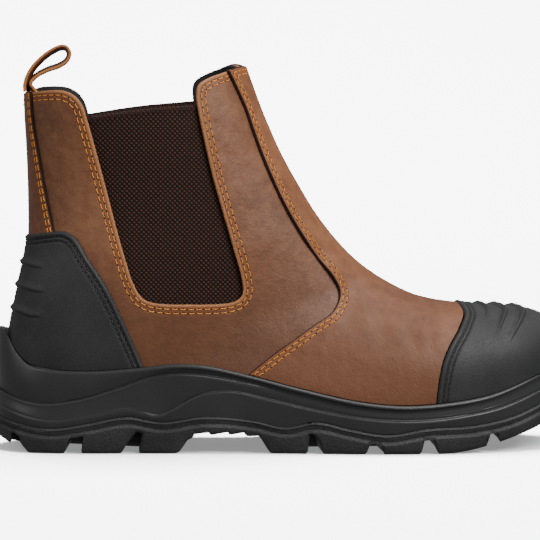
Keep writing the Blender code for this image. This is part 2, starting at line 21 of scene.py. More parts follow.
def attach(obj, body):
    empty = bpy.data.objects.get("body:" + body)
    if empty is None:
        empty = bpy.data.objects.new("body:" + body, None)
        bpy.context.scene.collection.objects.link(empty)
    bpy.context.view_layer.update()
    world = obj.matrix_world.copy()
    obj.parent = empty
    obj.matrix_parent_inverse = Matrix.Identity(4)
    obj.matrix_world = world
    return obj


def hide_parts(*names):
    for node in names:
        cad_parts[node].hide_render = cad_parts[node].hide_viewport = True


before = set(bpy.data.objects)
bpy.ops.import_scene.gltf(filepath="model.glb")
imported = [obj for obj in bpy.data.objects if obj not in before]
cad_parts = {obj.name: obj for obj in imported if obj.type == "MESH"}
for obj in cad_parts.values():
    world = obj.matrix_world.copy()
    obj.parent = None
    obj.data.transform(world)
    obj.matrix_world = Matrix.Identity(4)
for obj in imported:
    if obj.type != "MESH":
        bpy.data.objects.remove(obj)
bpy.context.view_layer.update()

LOG = logging.getLogger("boot")
MM = 0.001

# Driving sizes, as in the solids
BALL_WIDTH = 107.5
MIDDLE = (1.25, -1.0)
GAP = 0.3
SEAT_GAP = 0.45
WALL = 2.6
VAMP_THICK = 1.6
BACKSTAY_THICK = 1.1
MOULDED_THICK = 2.2
GORE_THICK = 1.5
GORE_LAP = 6.0
STRAP_THICK = 2.2
STRAP_WIDTH = 18.0

# Sizes that only the looks need
QUARTER_THICK = 1.5
LINING_THICK = 1.0
NEEDLE_PITCH = 4.2
SHAFT_FOOT = 135.0
INNER_RISE = 4.6
FAR_FROM_EDGE = 99.0

Points = np.ndarray
Relief = Callable[[Points, Points], Points]


@dataclass(frozen=True)
class Section:
    """One section of the last, from the front or top of the boot to its back or underside.

    The width is a share of the ball width, the peak is how far along the section is widest, and
    the round values are the powers of its curve. The shifts bend the foot to its inner side.
    """

    front_x: float
    front_z: float
    back_x: float
    back_z: float
    width: float
    peak: float
    front_round: float
    back_round: float
    front_shift: float
    back_shift: float


SECTIONS = [
    Section(-25.5, 210.0, -137.2, 197.0, 0.700, 0.50, 2.2, 2.3, 0.0, 0.0),
    Section(-19.5, 192.5, -136.8, 178.0, 0.690, 0.50, 2.2, 2.3, 0.0, 0.0),
    Section(-11.5, 171.5, -135.6, 155.0, 0.685, 0.50, 2.3, 2.2, 0.0, 0.0),
    Section(-1.5, 150.5, -134.9, 131.0, 0.675, 0.50, 2.3, 2.2, 0.0, 0.0),
    Section(9.5, 131.0, -135.3, 108.0, 0.675, 0.52, 2.4, 2.4, 0.0, 0.0),
    Section(19.8, 115.5, -139.8, 85.0, 0.685, 0.54, 2.5, 2.7, 0.0, 0.0),
    Section(30.2, 103.3, -144.2, 62.0, 0.685, 0.56, 2.5, 2.9, 0.3, 0.0),
    Section(38.4, 95.7, -145.5, 42.0, 0.680, 0.56, 2.5, 3.0, 0.6, 0.0),
    Section(45.6, 90.4, -135.0, 27.5, 0.675, 0.54, 2.4, 3.1, 1.0, 0.0),
    Section(53.0, 85.8, -105.0, 25.0, 0.680, 0.52, 2.3, 3.4, 1.5, -0.5),
    Section(61.0, 81.6, -70.0, 24.0, 0.690, 0.50, 2.3, 3.6, 2.0, -2.5),
    Section(70.0, 77.9, -35.0, 20.5, 0.730, 0.48, 2.2, 3.6, 2.5, -4.0),
    Section(81.0, 75.3, 0.0, 14.0, 0.800, 0.52, 2.2, 3.8, 3.0, -4.2),
    Section(94.0, 73.6, 40.0, 9.5, 0.880, 0.58, 2.3, 4.0, 3.5, -2.8),
    Section(108.0, 72.4, 75.0, 9.0, 0.890, 0.60, 2.5, 4.0, 4.5, -0.5),
    Section(122.0, 71.2, 105.0, 13.0, 0.815, 0.60, 2.6, 4.0, 5.5, 2.5),
    Section(134.0, 69.0, 127.0, 20.0, 0.673, 0.58, 2.6, 3.6, 6.5, 5.0),
    Section(143.5, 64.0, 141.0, 28.5, 0.500, 0.55, 2.5, 3.0, 7.2, 6.5),
    Section(149.5, 57.0, 148.5, 38.0, 0.290, 0.52, 2.3, 2.4, 7.8, 7.5),
    Section(152.0, 50.0, 152.0, 46.0, 0.065, 0.50, 2.0, 2.0, 8.0, 8.0),
]
LAST_SECTION = len(SECTIONS) - 1

# The sole from above: each row is (place, reach to the outer side, reach to the inner side)
SOLE_PLAN = [
    (-156.0, 0.0, 0.0), (-151.5, 19.0, 19.0), (-138.0, 33.5, 33.0), (-115.0, 40.5, 40.0),
    (-85.0, 42.5, 41.0), (-50.0, 44.0, 39.0), (-20.0, 46.0, 37.5), (10.0, 50.0, 40.0),
    (40.0, 54.5, 46.5), (65.0, 55.5, 51.5), (88.0, 53.0, 53.5), (110.0, 46.5, 51.5),
    (130.0, 35.5, 45.0), (146.0, 20.5, 35.0), (155.5, 6.0, 23.0), (158.5, -8.0, 8.0),
]

# Heights along the sole, each a row of (place, height) that a smooth line joins
RIM_TOP = [
    (-156.0, 64.0), (-148.0, 62.0), (-142.5, 53.3), (-136.3, 46.8), (-126.0, 43.8), (-105.0, 42.4),
    (-80.0, 44.0), (-57.0, 46.2), (-42.0, 45.0), (-26.0, 41.5), (5.0, 33.5), (36.0, 26.8),
    (57.0, 24.9), (80.0, 26.2), (104.0, 30.0), (130.0, 39.1), (146.0, 45.5), (158.5, 49.5),
]
HEEL_CREASE = [
    (-156.0, 34.0), (-144.0, 28.5), (-129.0, 25.4), (-110.0, 27.5), (-90.0, 33.2), (-72.0, 39.0),
    (-55.0, 41.0), (-26.0, 36.9), (5.0, 28.9), (36.0, 22.2), (57.0, 20.4), (80.0, 21.7),
    (104.0, 25.5), (130.0, 34.2), (146.0, 40.4), (158.5, 44.4),
]
ARCH_CREASE = [
    (-156.0, 25.0), (-124.0, 17.2), (-100.0, 20.5), (-85.0, 23.0), (-76.0, 21.5), (-69.0, 19.9),
    (-60.0, 23.5), (-50.0, 29.2), (-32.0, 32.0), (-10.0, 27.7), (15.0, 22.0), (45.0, 17.6), (66.0, 17.2), (90.0, 19.6),
    (110.0, 23.4), (129.0, 30.0), (146.0, 37.2), (158.5, 41.8),
]
TREAD_TOP = [
    (-156.0, 20.0), (-144.0, 15.8), (-124.0, 12.5), (-104.0, 15.3), (-84.0, 18.7), (-67.0, 15.9),
    (-46.0, 18.7), (-20.0, 17.0), (-2.0, 13.5), (12.0, 16.2), (30.0, 12.6), (48.5, 9.8),
    (70.0, 12.8), (95.0, 14.0), (118.0, 18.4), (129.0, 22.3), (146.0, 30.0), (158.5, 36.0),
]
PLATFORM = [
    (-175.0, 34.0), (-140.0, 32.5), (-90.0, 31.5), (-57.0, 30.0), (-26.0, 25.5), (5.0, 20.5),
    (36.0, 16.8), (57.0, 15.8), (76.0, 16.8), (104.0, 20.5), (119.0, 24.5), (131.0, 29.5),
    (150.0, 38.5), (175.0, 50.0),
]

TREAD_BOTTOM = [
    (-156.0, 9.5), (-149.0, 6.4), (-143.0, 3.4), (-135.0, 0.0), (-128.0, 0.0), (74.0, 0.0), (80.0, 0.0),
    (90.0, 1.0), (100.0, 3.0), (118.0, 7.8), (130.0, 11.8), (146.0, 19.0), (158.5, 27.0),
]

# How far the rim is drawn in round the heel, a row of (place, distance) each
HEEL_TUCK = [
    (-156.0, 2.0), (-151.5, 4.0), (-145.0, 5.0), (-138.0, 4.0), (-130.0, 2.5), (-118.0, 1.5),
    (-100.0, 0.8), (-80.0, 0.0), (158.5, 0.0),
]

# Gaps between the lugs, from the side, and the grooves under the middle of the sole
LUG_GAPS = [
    [(-146.0, -3.0), (-143.4, 10.3), (-140.2, 8.2), (-138.0, 3.2), (-132.5, -3.0)],
    [(-118.5, -3.0), (-112.0, 8.4), (-107.0, 9.0), (-108.3, -3.0)],
    [(-89.0, -3.0), (-84.5, 5.0), (-79.2, 11.4), (-76.6, 10.6), (-78.9, -3.0)],
    [(8.0, -3.0), (9.4, 10.6), (11.4, 9.8), (14.0, 7.0), (17.0, -3.0)],
    [(37.0, -3.0), (40.3, 6.0), (44.9, 5.4), (48.8, -3.0)],
    [(65.6, -3.0), (68.2, 7.6), (72.4, 7.6), (76.6, -3.0)],
    [(99.0, -3.0), (103.5, 10.4), (107.0, 9.2), (111.0, -3.0)],
]
ARCH_GAP = [
    (-61.0, -3.0), (-56.8, 1.8), (-53.2, 7.0), (-50.6, 8.2), (-49.6, 10.0), (-42.4, 10.9), (-41.4, 9.4),
    (-32.6, 11.1), (-31.6, 9.6), (-24.2, 10.9), (-23.2, 8.9), (-17.0, 9.2), (-15.4, 7.6), (-12.2, 2.4),
    (-8.5, -3.0),
]
MIDDLE_HALF = 16.0
MIDDLE_GAPS = [(-126.0, 6.0), (-97.0, 6.0), (26.0, 6.0), (57.0, 6.0), (88.0, 6.0)]
BEYOND = 90.0

# Outlines of the leather and moulded pieces, seen from the outer side
COLLAR_BACK = [
    (-175.0, 186.4), (-138.0, 186.6), (-127.0, 187.0), (-117.5, 186.8), (-111.0, 183.8), (-107.0, 178.6),
]
GORE_BACK = [
    (-105.0, 172.5), (-100.9, 158.0), (-95.5, 138.0), (-89.7, 116.0), (-84.8, 99.0), (-81.0, 87.5),
]
GORE_FOOT = [
    (-75.5, 79.2), (-66.0, 76.8), (-52.0, 76.4), (-38.0, 76.5), (-29.0, 77.7), (-24.4, 81.6),
]
GORE_FRONT = [
    (-24.8, 90.0), (-29.5, 107.0), (-35.0, 126.0), (-39.5, 142.0), (-43.2, 158.0), (-46.2, 172.0),
]
COLLAR_FRONT = [
    (-47.9, 183.0), (-46.9, 189.8), (-41.0, 193.9), (-33.0, 197.0), (-22.0, 201.2), (0.0, 204.0),
]
GORE_MIDDLE = (-62.0, 130.0)
GORE_TOP = [(-113.0, 171.7), (-104.0, 173.2), (-77.0, 177.2), (-48.0, 179.7), (-41.0, 180.2)]
VAMP_SEAM = [
    (-31.0, 197.8), (-27.4, 190.7), (-21.7, 178.2), (-17.5, 165.8), (-12.8, 152.8), (-7.1, 139.3),
    (-0.3, 125.2), (7.6, 111.6), (16.5, 99.1), (24.0, 89.2), (26.9, 81.5), (22.5, 72.4),
    (12.7, 65.9), (2.4, 58.7), (-10.6, 49.5), (-24.0, 38.8), (-32.0, 32.0),
]
IN_FRONT = [(90.0, 120.0), (60.0, 204.0)]
TOE_CAP_EDGE = [
    (91.2, 82.0), (92.4, 76.6), (93.0, 71.5), (90.2, 66.5), (86.9, 61.5), (83.0, 56.0),
    (79.2, 48.5), (77.0, 40.5), (75.6, 32.0), (74.6, 22.0), (74.2, 12.0),
]
PAST_THE_TOE = [(175.0, 12.0), (175.0, 100.0), (90.3, 100.0)]
COUNTER_EDGE = [
    (-175.0, 111.0), (-138.0, 112.4), (-126.0, 113.8), (-117.0, 114.2), (-110.5, 110.2), (-103.9, 99.6),
    (-95.5, 87.0), (-87.8, 71.7), (-82.0, 58.8), (-76.5, 46.0), (-72.0, 34.0),
]
BEHIND_THE_HEEL = (-175.0, 34.0)
BACKSTAY_EDGE = [
    (-134.4, 190.0), (-133.4, 173.0), (-130.6, 156.5), (-127.3, 138.2), (-124.2, 123.6), (-120.4, 107.0),
]
OVERHEAD = [(175.0, 230.0), (-175.0, 230.0)]

# Crests over the toe and round the heel, from the middle to a tip: (along, reach aside, height)
TOE_CRESTS = [
    [(104.6, 0.0, 75.4), (106.0, 12.0, 74.6), (106.6, 20.0, 73.4), (105.5, 28.5, 70.9), (104.1, 34.6, 68.1)],
    [
        (113.0, 0.0, 75.0), (115.4, 10.0, 74.4), (116.4, 19.9, 72.5), (114.0, 30.0, 69.4),
        (110.3, 38.6, 64.4), (107.7, 43.7, 59.6),
    ],
    [
        (123.1, 0.0, 74.0), (125.8, 9.0, 73.2), (126.5, 17.3, 71.6), (124.3, 26.3, 69.1),
        (120.6, 34.8, 64.9), (116.6, 40.8, 60.1), (113.9, 43.7, 57.0),
    ],
]
TOE_MIDDLE = 5.0
HEEL_CRESTS = [
    [(-141.5, 0.0, 98.6), (-139.5, 9.0, 98.2), (-135.5, 17.0, 97.2), (-130.6, 22.5, 96.1), (-126.5, 26.0, 95.4)],
    [(-144.6, 0.0, 86.6), (-142.0, 10.0, 86.2), (-134.8, 21.0, 84.6), (-130.5, 25.0, 83.5), (-125.5, 28.5, 83.2)],
    [(-147.4, 0.0, 74.6), (-144.5, 11.0, 74.0), (-137.3, 21.5, 72.1), (-133.1, 25.5, 70.7), (-126.5, 29.5, 70.3)],
]

# Soft creases of the vamp, seen from the side: points of the trough, then its depth and half width
CREASES = [
    ([(22.0, 108.0), (14.0, 101.0), (9.5, 90.0), (9.0, 80.0)], 0.55, 6.0),
    ([(38.0, 92.0), (33.0, 86.0), (31.5, 76.0), (35.0, 66.0)], 0.45, 5.5),
    ([(52.0, 81.0), (48.0, 74.0), (47.0, 65.0), (50.0, 55.0)], 0.35, 4.5),
    ([(66.0, 78.0), (62.0, 71.0), (62.5, 62.0), (67.0, 52.0)], 0.28, 3.5),
    ([(76.0, 75.0), (73.5, 67.0), (73.0, 58.0), (74.5, 48.0)], 0.22, 2.6),
    ([(-8.0, 168.0), (2.0, 152.0), (6.0, 138.0)], 0.30, 8.0),
    ([(2.0, 140.0), (10.0, 128.0), (22.0, 118.0)], 0.25, 6.0),
]
STRAP_PATH = [
    (-137.5, 187.4), (-137.6, 190.5), (-136.4, 195.2), (-133.6, 200.0), (-129.6, 204.4),
    (-124.5, 208.4), (-119.2, 211.0), (-115.6, 210.6), (-113.8, 207.4), (-115.2, 203.4),
    (-119.4, 200.4), (-125.6, 198.2), (-131.2, 195.2), (-134.3, 191.6), (-132.6, 188.6),
    (-130.9, 185.6), (-130.8, 178.0), (-130.8, 172.0),
]


def smooth(values: Sequence | Points, places: Sequence | Points) -> Points:
    """Read a smooth line through evenly numbered values.

    Args:
        values: One value or row of values for each whole number.
        places: The numbers to read the line at.

    Returns:
        The values there.
    """
    values = np.asarray(values, dtype=float)
    first = 2 * values[:1] - values[1:2]
    last = 2 * values[-1:] - values[-2:-1]
    padded = np.concatenate([first, values, last])
    places = np.clip(np.asarray(places, dtype=float), 0, len(values) - 1)
    whole = np.minimum(places.astype(int), len(values) - 2)
    part = places - whole
    part = part.reshape(part.shape + (1,) * (values.ndim - 1))
    before, here, after, beyond = (padded[whole + k] for k in range(4))
    linear = (after - before) * part
    square = (2 * before - 5 * here + 4 * after - beyond) * part ** 2
    cube = (3 * here - before - 3 * after + beyond) * part ** 3
    return 0.5 * (2 * here + linear + square + cube)


def height(line: Sequence[tuple[float, float]], along: Points) -> Points:
    """Read the height of a smooth line along the boot.

    Args:
        line: Rows of (place, height).
        along: The places to read it at.

    Returns:
        The heights there.
    """
    places, heights = np.asarray(line, dtype=float).T
    number = np.interp(along, places, np.arange(len(places)))
    slope = np.gradient(heights, places)
    index = np.clip(number.astype(int), 0, len(places) - 2)
    span = places[index + 1] - places[index]
    part = np.clip((along - places[index]) / span, 0, 1)
    low, high = heights[index], heights[index + 1]
    low_slope, high_slope = slope[index] * span, slope[index + 1] * span
    return (
        low * (1 + 2 * part) * (1 - part) ** 2
        + low_slope * part * (1 - part) ** 2
        + high * part ** 2 * (3 - 2 * part)
        + high_slope * part ** 2 * (part - 1)
    )


def outline(*runs: Sequence[tuple[float, float]], steps: int = 5) -> Points:
    """Draw one smooth line through runs of points.

    Args:
        runs: The points, in order.
        steps: How many pieces each stretch between two points is divided into.

    Returns:
        The points of the line.
    """
    points = np.array([point for run in runs for point in run])
    places = np.linspace(0, len(points) - 1, (len(points) - 1) * steps + 1)
    return smooth(points, places)


def gap_to_line(points: Points, line: Points) -> Points:
    """Measure how far points lie from a line in the same plane.

    Args:
        points: The points, one a row.
        line: The line's own points, in order.

    Returns:
        The distance of each point.
    """
    start, end = line[:-1], line[1:]
    along = end - start
    length = np.maximum((along ** 2).sum(axis=1), 1e-12)
    away = points[:, None, :] - start[None]
    part = np.clip((away * along).sum(axis=2) / length, 0, 1)
    return np.linalg.norm(away - part[..., None] * along, axis=2).min(axis=1)


def share_along(points: Points, line: Points) -> Points:
    """Tell how far along a line each point lies, from 0 at its start to 1 at its end."""
    start, end = line[:-1], line[1:]
    along = end - start
    length = np.sqrt(np.maximum((along ** 2).sum(axis=1), 1e-12))
    away = points[:, None, :] - start[None]
    part = np.clip((away * along).sum(axis=2) / length ** 2, 0, 1)
    gap = np.linalg.norm(away - part[..., None] * along, axis=2)
    nearest = gap.argmin(axis=1)
    before = np.concatenate([[0], np.cumsum(length)])
    rows = np.arange(len(points))
    return (before[nearest] + part[rows, nearest] * length[nearest]) / before[-1]


def inside(points: Points, ring: Points) -> Points:
    """Tell which points lie inside a closed ring in the same plane.

    Args:
        points: The points, one a row.
        ring: The ring's points, in order.

    Returns:
        True for each point inside.
    """
    start, end = ring, np.roll(ring, -1, axis=0)
    x, z = points[:, :1], points[:, 1:]
    crosses = (start[:, 1] > z) != (end[:, 1] > z)
    rise = np.where(end[:, 1] == start[:, 1], 1e-12, end[:, 1] - start[:, 1])
    at = start[:, 0] + (z - start[:, 1]) / rise * (end[:, 0] - start[:, 0])
    return (crosses & (x < at)).sum(axis=1) % 2 == 1


def evenly(points: Points, pitch: float) -> Points:
    """Respace a line.

    Args:
        points: The line's points.
        pitch: The wanted distance between points.

    Returns:
        Points at about that distance, both ends kept.
    """
    length = np.concatenate([[0], np.cumsum(np.linalg.norm(np.diff(points, axis=0), axis=1))])
    count = max(int(round(length[-1] / pitch)), 1)
    places = np.linspace(0, length[-1], count + 1)
    return np.column_stack([np.interp(places, length, column) for column in points.T])


class Last:
    """The foot form that every leather and moulded piece is shaped on."""

    def __init__(self) -> None:
        """Read the section table into one array."""
        names = [column.name for column in fields(Section)]
        self.rows = np.array([[getattr(row, name) for name in names] for row in SECTIONS])
        self.names = names

    def skin(self, number: Points, turn: Points) -> Points:
        """Give the leather's outer surface.

        Args:
            number: Section numbers, from 0 at the collar.
            turn: Turns round each section, from its front over the outer side to its back.

        Returns:
            The points, one a row.
        """
        row = dict(zip(self.names, np.moveaxis(smooth(self.rows, number), -1, 0)))
        ahead, aside = np.cos(turn), np.sin(turn)
        power = np.where(ahead > 0, row["front_round"], row["back_round"])
        reach = (np.abs(ahead) ** power + np.abs(aside) ** power) ** (-1 / power)
        side = np.where(ahead > 0, row["peak"], 1 - row["peak"])
        part = row["peak"] - side * ahead * reach
        x = row["front_x"] + (row["back_x"] - row["front_x"]) * part
        z = row["front_z"] + (row["back_z"] - row["front_z"]) * part
        shift = row["front_shift"] + (row["back_shift"] - row["front_shift"]) * part
        y = shift - row["width"] * BALL_WIDTH / 2 * aside * reach
        return np.stack([x, y, z], axis=-1)

    def normal(self, number: Points, turn: Points) -> Points:
        """Give the outward normal of the skin at section numbers and turns."""
        step = 0.05
        below = self.skin(np.minimum(number + step, LAST_SECTION), turn)
        above = self.skin(np.maximum(number - step, 0), turn)
        around = self.skin(number, turn + step) - self.skin(number, turn - step)
        normal = np.cross(around, below - above)
        return normal / np.linalg.norm(normal, axis=-1, keepdims=True)

    def proud(self, number: Points, turn: Points, distance: float | Points) -> Points:
        """Give the points that stand off the skin by a distance."""
        return self.skin(number, turn) + self.normal(number, turn) * np.expand_dims(distance, -1)

    def even_numbers(self, first: float, last: float, cell: float) -> Points:
        """Divide a stretch of sections so that its rows lie about a cell apart."""
        fine = np.linspace(first, last, 300)
        sides = [self.skin(fine, np.full_like(fine, turn)) for turn in (0.0, math.pi / 2, math.pi)]
        steps = np.max([np.linalg.norm(np.diff(side, axis=0), axis=1) for side in sides], axis=0)
        length = np.concatenate([[0], np.cumsum(steps)])
        count = int(math.ceil(length[-1] / cell))
        return np.interp(np.linspace(0, length[-1], count + 1), length, fine)

    def even_turns(self, start: float, end: float, number: float, cell: float) -> Points:
        """Divide a turn round one section so that its columns lie about a cell apart."""
        fine = np.linspace(start, end, 400)
        ring = self.skin(np.full_like(fine, number), fine)
        length = np.concatenate([[0], np.cumsum(np.linalg.norm(np.diff(ring, axis=0), axis=1))])
        count = int(math.ceil(length[-1] / cell))
        return np.interp(np.linspace(0, length[-1], count + 1), length, fine)


LAST = Last()


@dataclass(frozen=True)
class Wrap:
    """How a sheet lies on the last.

    The sections run from first to last, the turns from start to end, and proud is how far its
    outer face stands off the skin.
    """

    first: float
    last: float
    start: float
    end: float
    cell: float
    proud: float
    widest: float


@dataclass
class Run:
    """A row for stitches: its points and the surface's normals there."""

    points: Points
    normals: Points


def grow_tree(points: Points) -> KDTree:
    """Sort points for quick searches."""
    tree = KDTree(len(points))
    for index, point in enumerate(points):
        tree.insert(point, index)
    tree.balance()
    return tree


@dataclass(frozen=True)
class Crest:
    """A raised line across the middle of the boot, alike on both sides and thinner at its tips.

    The half widths are for its middle and its tips. The axis, 0 along the boot or 2 for height,
    tells its two flanks apart: the one at lower values ends in a groove, the other is sharp.
    """

    places: Sequence[tuple[float, float, float]]
    middle: float
    axis: int
    rise: float
    wide: float
    tip_wide: float
    sharp: float = 0.62
    groove: float = 0.40

    def trace(self, surface: BVHTree) -> Points:
        """Lay the crest on a surface.

        Args:
            surface: The sheet that carries it.

        Returns:
            Rows of a point and its share, from 0 at a tip to 1 in the middle.
        """
        half = smooth(self.places, np.linspace(0, len(self.places) - 1, 60))
        whole = np.concatenate([half[::-1] * (1, -1, 1), half[1:]])
        line = evenly(whole + (0.0, self.middle, 0.0), 0.5)
        laid = np.array([surface.find_nearest(Vector(point))[0] for point in line])
        share = 1 - np.abs(np.linspace(-1, 1, len(line)))
        return np.column_stack([laid, share])

    def lift(self, points: Points, traced: Points) -> Points:
        """Give how far the crest raises each point."""
        tree = grow_tree(traced[:, :3])
        found = [tree.find(point)[1:] for point in points]
        which = np.array([index for index, _ in found])
        gap = np.array([distance for _, distance in found])
        share = traced[which, 3]
        low_side = points[:, self.axis] < traced[which, self.axis]
        wide = self.tip_wide + (self.wide - self.tip_wide) * share ** 1.5
        flank = np.where(low_side, wide, self.sharp + (wide - self.sharp) * share ** 2)
        full = np.clip(share / 0.5, 0, 1) ** 0.7
        grooved = np.where(low_side, self.groove, 0.0) * dent(gap - 1.75 * wide, 0.5 * wide)
        return full * (self.rise * dent(gap, flank) - grooved)


class Sheet:
    """A grid wrapped round the last, cut to side-view outlines and raised into relief."""

    crest_reach: float = 4.2

    def __init__(self, wrap: Wrap) -> None:
        """Wrap the grid.

        Args:
            wrap: Where the sheet lies.
        """
        self.wrap = wrap
        self.mesh = bmesh.new()
        layers = self.mesh.verts.layers.float
        for name in ("number", "turn", "border", "tone"):
            layers.new(name)
        self.number, self.turn = layers["number"], layers["turn"]
        self.border, self.tone = layers["border"], layers["tone"]
        self.edges: dict[str, list[Points]] = {}
        numbers = LAST.even_numbers(wrap.first, wrap.last, wrap.cell)
        turns = LAST.even_turns(wrap.start, wrap.end, wrap.widest, wrap.cell)
        bmesh.ops.create_grid(self.mesh, x_segments=len(numbers) - 1, y_segments=len(turns) - 1, size=0.5)
        rows, columns = np.linspace(-0.5, 0.5, len(numbers)), np.linspace(-0.5, 0.5, len(turns))
        for vert in self.mesh.verts:
            vert[self.number] = np.interp(vert.co.x, rows, numbers)
            vert[self.turn] = np.interp(vert.co.y, columns, turns)
            vert[self.border] = FAR_FROM_EDGE
        self.settle()
        self.mesh.normal_update()
        self.mesh.faces.ensure_lookup_table()
        face = self.mesh.faces[len(self.mesh.faces) // 2]
        vert = face.verts[0]
        out = Vector(LAST.normal(np.array([vert[self.number]]), np.array([vert[self.turn]]))[0])
        if face.normal.dot(out) < 0:
            bmesh.ops.reverse_faces(self.mesh, faces=self.mesh.faces)

    def places(self) -> tuple[Points, Points]:
        """Give every point's section number and turn."""
        number = np.array([vert[self.number] for vert in self.mesh.verts])
        turn = np.array([vert[self.turn] for vert in self.mesh.verts])
        return number, turn

    def settle(self, relief: Relief | None = None) -> None:
        """Put every point back on its layer.

        Args:
            relief: Gives each point's extra height from its place and its distance to the edge.
        """
        number, turn = self.places()
        out = LAST.normal(number, turn)
        placed = LAST.skin(number, turn) + out * self.wrap.proud
        if relief:
            border = np.array([vert[self.border] for vert in self.mesh.verts])
            placed = placed + out * relief(placed, border)[:, None]
        for vert, point in zip(self.mesh.verts, placed):
            vert.co = point

    @staticmethod
    def face_centres(some: Iterable[bmesh.types.BMFace]) -> tuple[list, Points]:
        """List faces and their middles, seen from the side."""
        faces = list(some)
        middles = [face.calc_center_median() for face in faces]
        return faces, np.array([(middle.x, middle.z) for middle in middles])

    def cut(self, ring: Points) -> None:
        """Cut the sheet to the inside of a side-view ring."""
        reach = 2.5 * self.wrap.cell
        faces, centres = self.face_centres(self.mesh.faces)
        for start, end in zip(ring, np.roll(ring, -1, axis=0)):
            along = end - start
            length = np.linalg.norm(along)
            if length < 1e-6:
                continue
            boxed = np.flatnonzero((np.abs(centres - (start + end) / 2) < np.abs(along) / 2 + reach).all(axis=1))
            close = boxed[gap_to_line(centres[boxed], np.array([start, end])) < reach]
            near = [faces[k] for k in close if faces[k].is_valid]
            if not near:
                continue
            edges = list(dict.fromkeys(edge for face in near for edge in face.edges))
            verts = list(dict.fromkeys(vert for face in near for vert in face.verts))
            made = bmesh.ops.bisect_plane(
                self.mesh,
                geom=near + edges + verts,
                dist=0.01,
                plane_co=(start[0], 0.0, start[1]),
                plane_no=(-along[1] / length, 0.0, along[0] / length),
            )
            known = set(near)
            fresh = [f for f in made["geom"] if isinstance(f, bmesh.types.BMFace) and f not in known]
            if fresh:
                more, middles = self.face_centres(fresh)
                faces += more
                centres = np.concatenate([centres, middles])
        faces, centres = self.face_centres(self.mesh.faces)
        outside = [face for face, keep in zip(faces, inside(centres, ring)) if not keep]
        bmesh.ops.delete(self.mesh, geom=outside, context="FACES")

    def mark(self, name: str, line: Points) -> None:
        """Find the sheet's border along a side-view line and keep it under a name.

        Args:
            name: The name of that edge.
            line: The line that the border follows.
        """
        rim = [edge for edge in self.mesh.edges if edge.is_boundary]
        verts = list(dict.fromkeys(vert for edge in rim for vert in edge.verts))
        flat = np.array([vert.co for vert in verts])[:, ::2]
        on_line = {vert for vert, gap in zip(verts, gap_to_line(flat, line)) if gap < 0.06}
        links: dict = {}
        for edge in rim:
            one, other = edge.verts
            if one in on_line and other in on_line:
                links.setdefault(one, []).append(other)
                links.setdefault(other, []).append(one)
        chains = []
        left = set(links)
        while left:
            ends = [vert for vert in left if len(links[vert]) == 1]
            here = ends[0] if ends else next(iter(left))
            chain = [here]
            left.discard(here)
            while True:
                onward = [vert for vert in links[here] if vert in left]
                if not onward:
                    break
                here = onward[0]
                left.discard(here)
                chain.append(here)
            if len(chain) > 3:
                chains.append(np.array([(vert[self.number], vert[self.turn]) for vert in chain]))
        self.edges[name] = chains

    def edge_points(self) -> Points:
        """Give closely spaced points along every marked edge."""
        runs = []
        for chains in self.edges.values():
            for chain in chains:
                runs.append(evenly(LAST.proud(chain[:, 0], chain[:, 1], self.wrap.proud), 0.2))
        return np.concatenate(runs)

    def measure(self) -> KDTree:
        """Store every point's distance to the nearest marked edge, and give the edges' tree."""
        tree = grow_tree(self.edge_points())
        for vert in self.mesh.verts:
            vert[self.border] = tree.find(vert.co)[2]
        return tree

    def refine(self, reach: float, times: int = 1, crests: Sequence[Points] = ()) -> None:
        """Divide the faces near the marked edges and near crests.

        Args:
            reach: How far from the edges the division goes.
            times: How often each face there is divided.
            crests: Closely spaced points along each crest.
        """
        wide = [face for face in self.mesh.faces if len(face.verts) > 4]
        bmesh.ops.triangulate(self.mesh, faces=wide)
        short = [edge for edge in self.mesh.edges if edge.calc_length() < 0.12]
        bmesh.ops.dissolve_degenerate(self.mesh, dist=0.1, edges=short)
        for _ in range(times):
            self.measure()
            near = [f for f in self.mesh.faces if min(vert[self.border] for vert in f.verts) < reach]
            if crests:
                tree = grow_tree(np.concatenate([crest[:, :3] for crest in crests]))
                known = set(near)
                near += [
                    f for f in self.mesh.faces
                    if f not in known and tree.find(f.calc_center_median())[2] < self.crest_reach
                ]
            edges = list(dict.fromkeys(edge for face in near for edge in face.edges))
            bmesh.ops.subdivide_edges(self.mesh, edges=edges, cuts=1, use_grid_fill=True)
            self.settle()
        self.measure()

    def rows(self, name: str, inset: float) -> list[Run]:
        """Follow a marked edge at a distance inside it.

        Args:
            name: The edge's name.
            inset: The distance from it.

        Returns:
            The rows, with no point nearer to any marked edge than the inset.
        """
        surface = BVHTree.FromBMesh(self.mesh)
        edges = self.measure_tree
        runs = []
        for chain in self.edges[name]:
            points = LAST.proud(chain[:, 0], chain[:, 1], self.wrap.proud)
            normals = LAST.normal(chain[:, 0], chain[:, 1])
            packed = evenly(np.hstack([points, normals]), 0.6)
            points, normals = packed[:, :3], packed[:, 3:]
            normals /= np.linalg.norm(normals, axis=1, keepdims=True)
            ahead = np.gradient(points, axis=0)
            aside = np.cross(normals, ahead)
            aside /= np.maximum(np.linalg.norm(aside, axis=1, keepdims=True), 1e-9)
            misses = [
                np.mean([surface.find_nearest(Vector(p))[3] for p in points[::4] + side * aside[::4]])
                for side in (1.0, -1.0)
            ]
            if misses[1] < misses[0]:
                aside = -aside
            kept: list[tuple[Points, Points]] = []
            for point, normal in zip(points + aside * inset, normals):
                found, _, _, miss = surface.find_nearest(Vector(point))
                if found is None or miss > 1.0 or edges.find(found)[2] < inset * 0.88:
                    if len(kept) > 4:
                        runs.append(self.as_run(kept))
                    kept = []
                    continue
                kept.append((np.array(found), normal))
            if len(kept) > 4:
                runs.append(self.as_run(kept))
        return runs

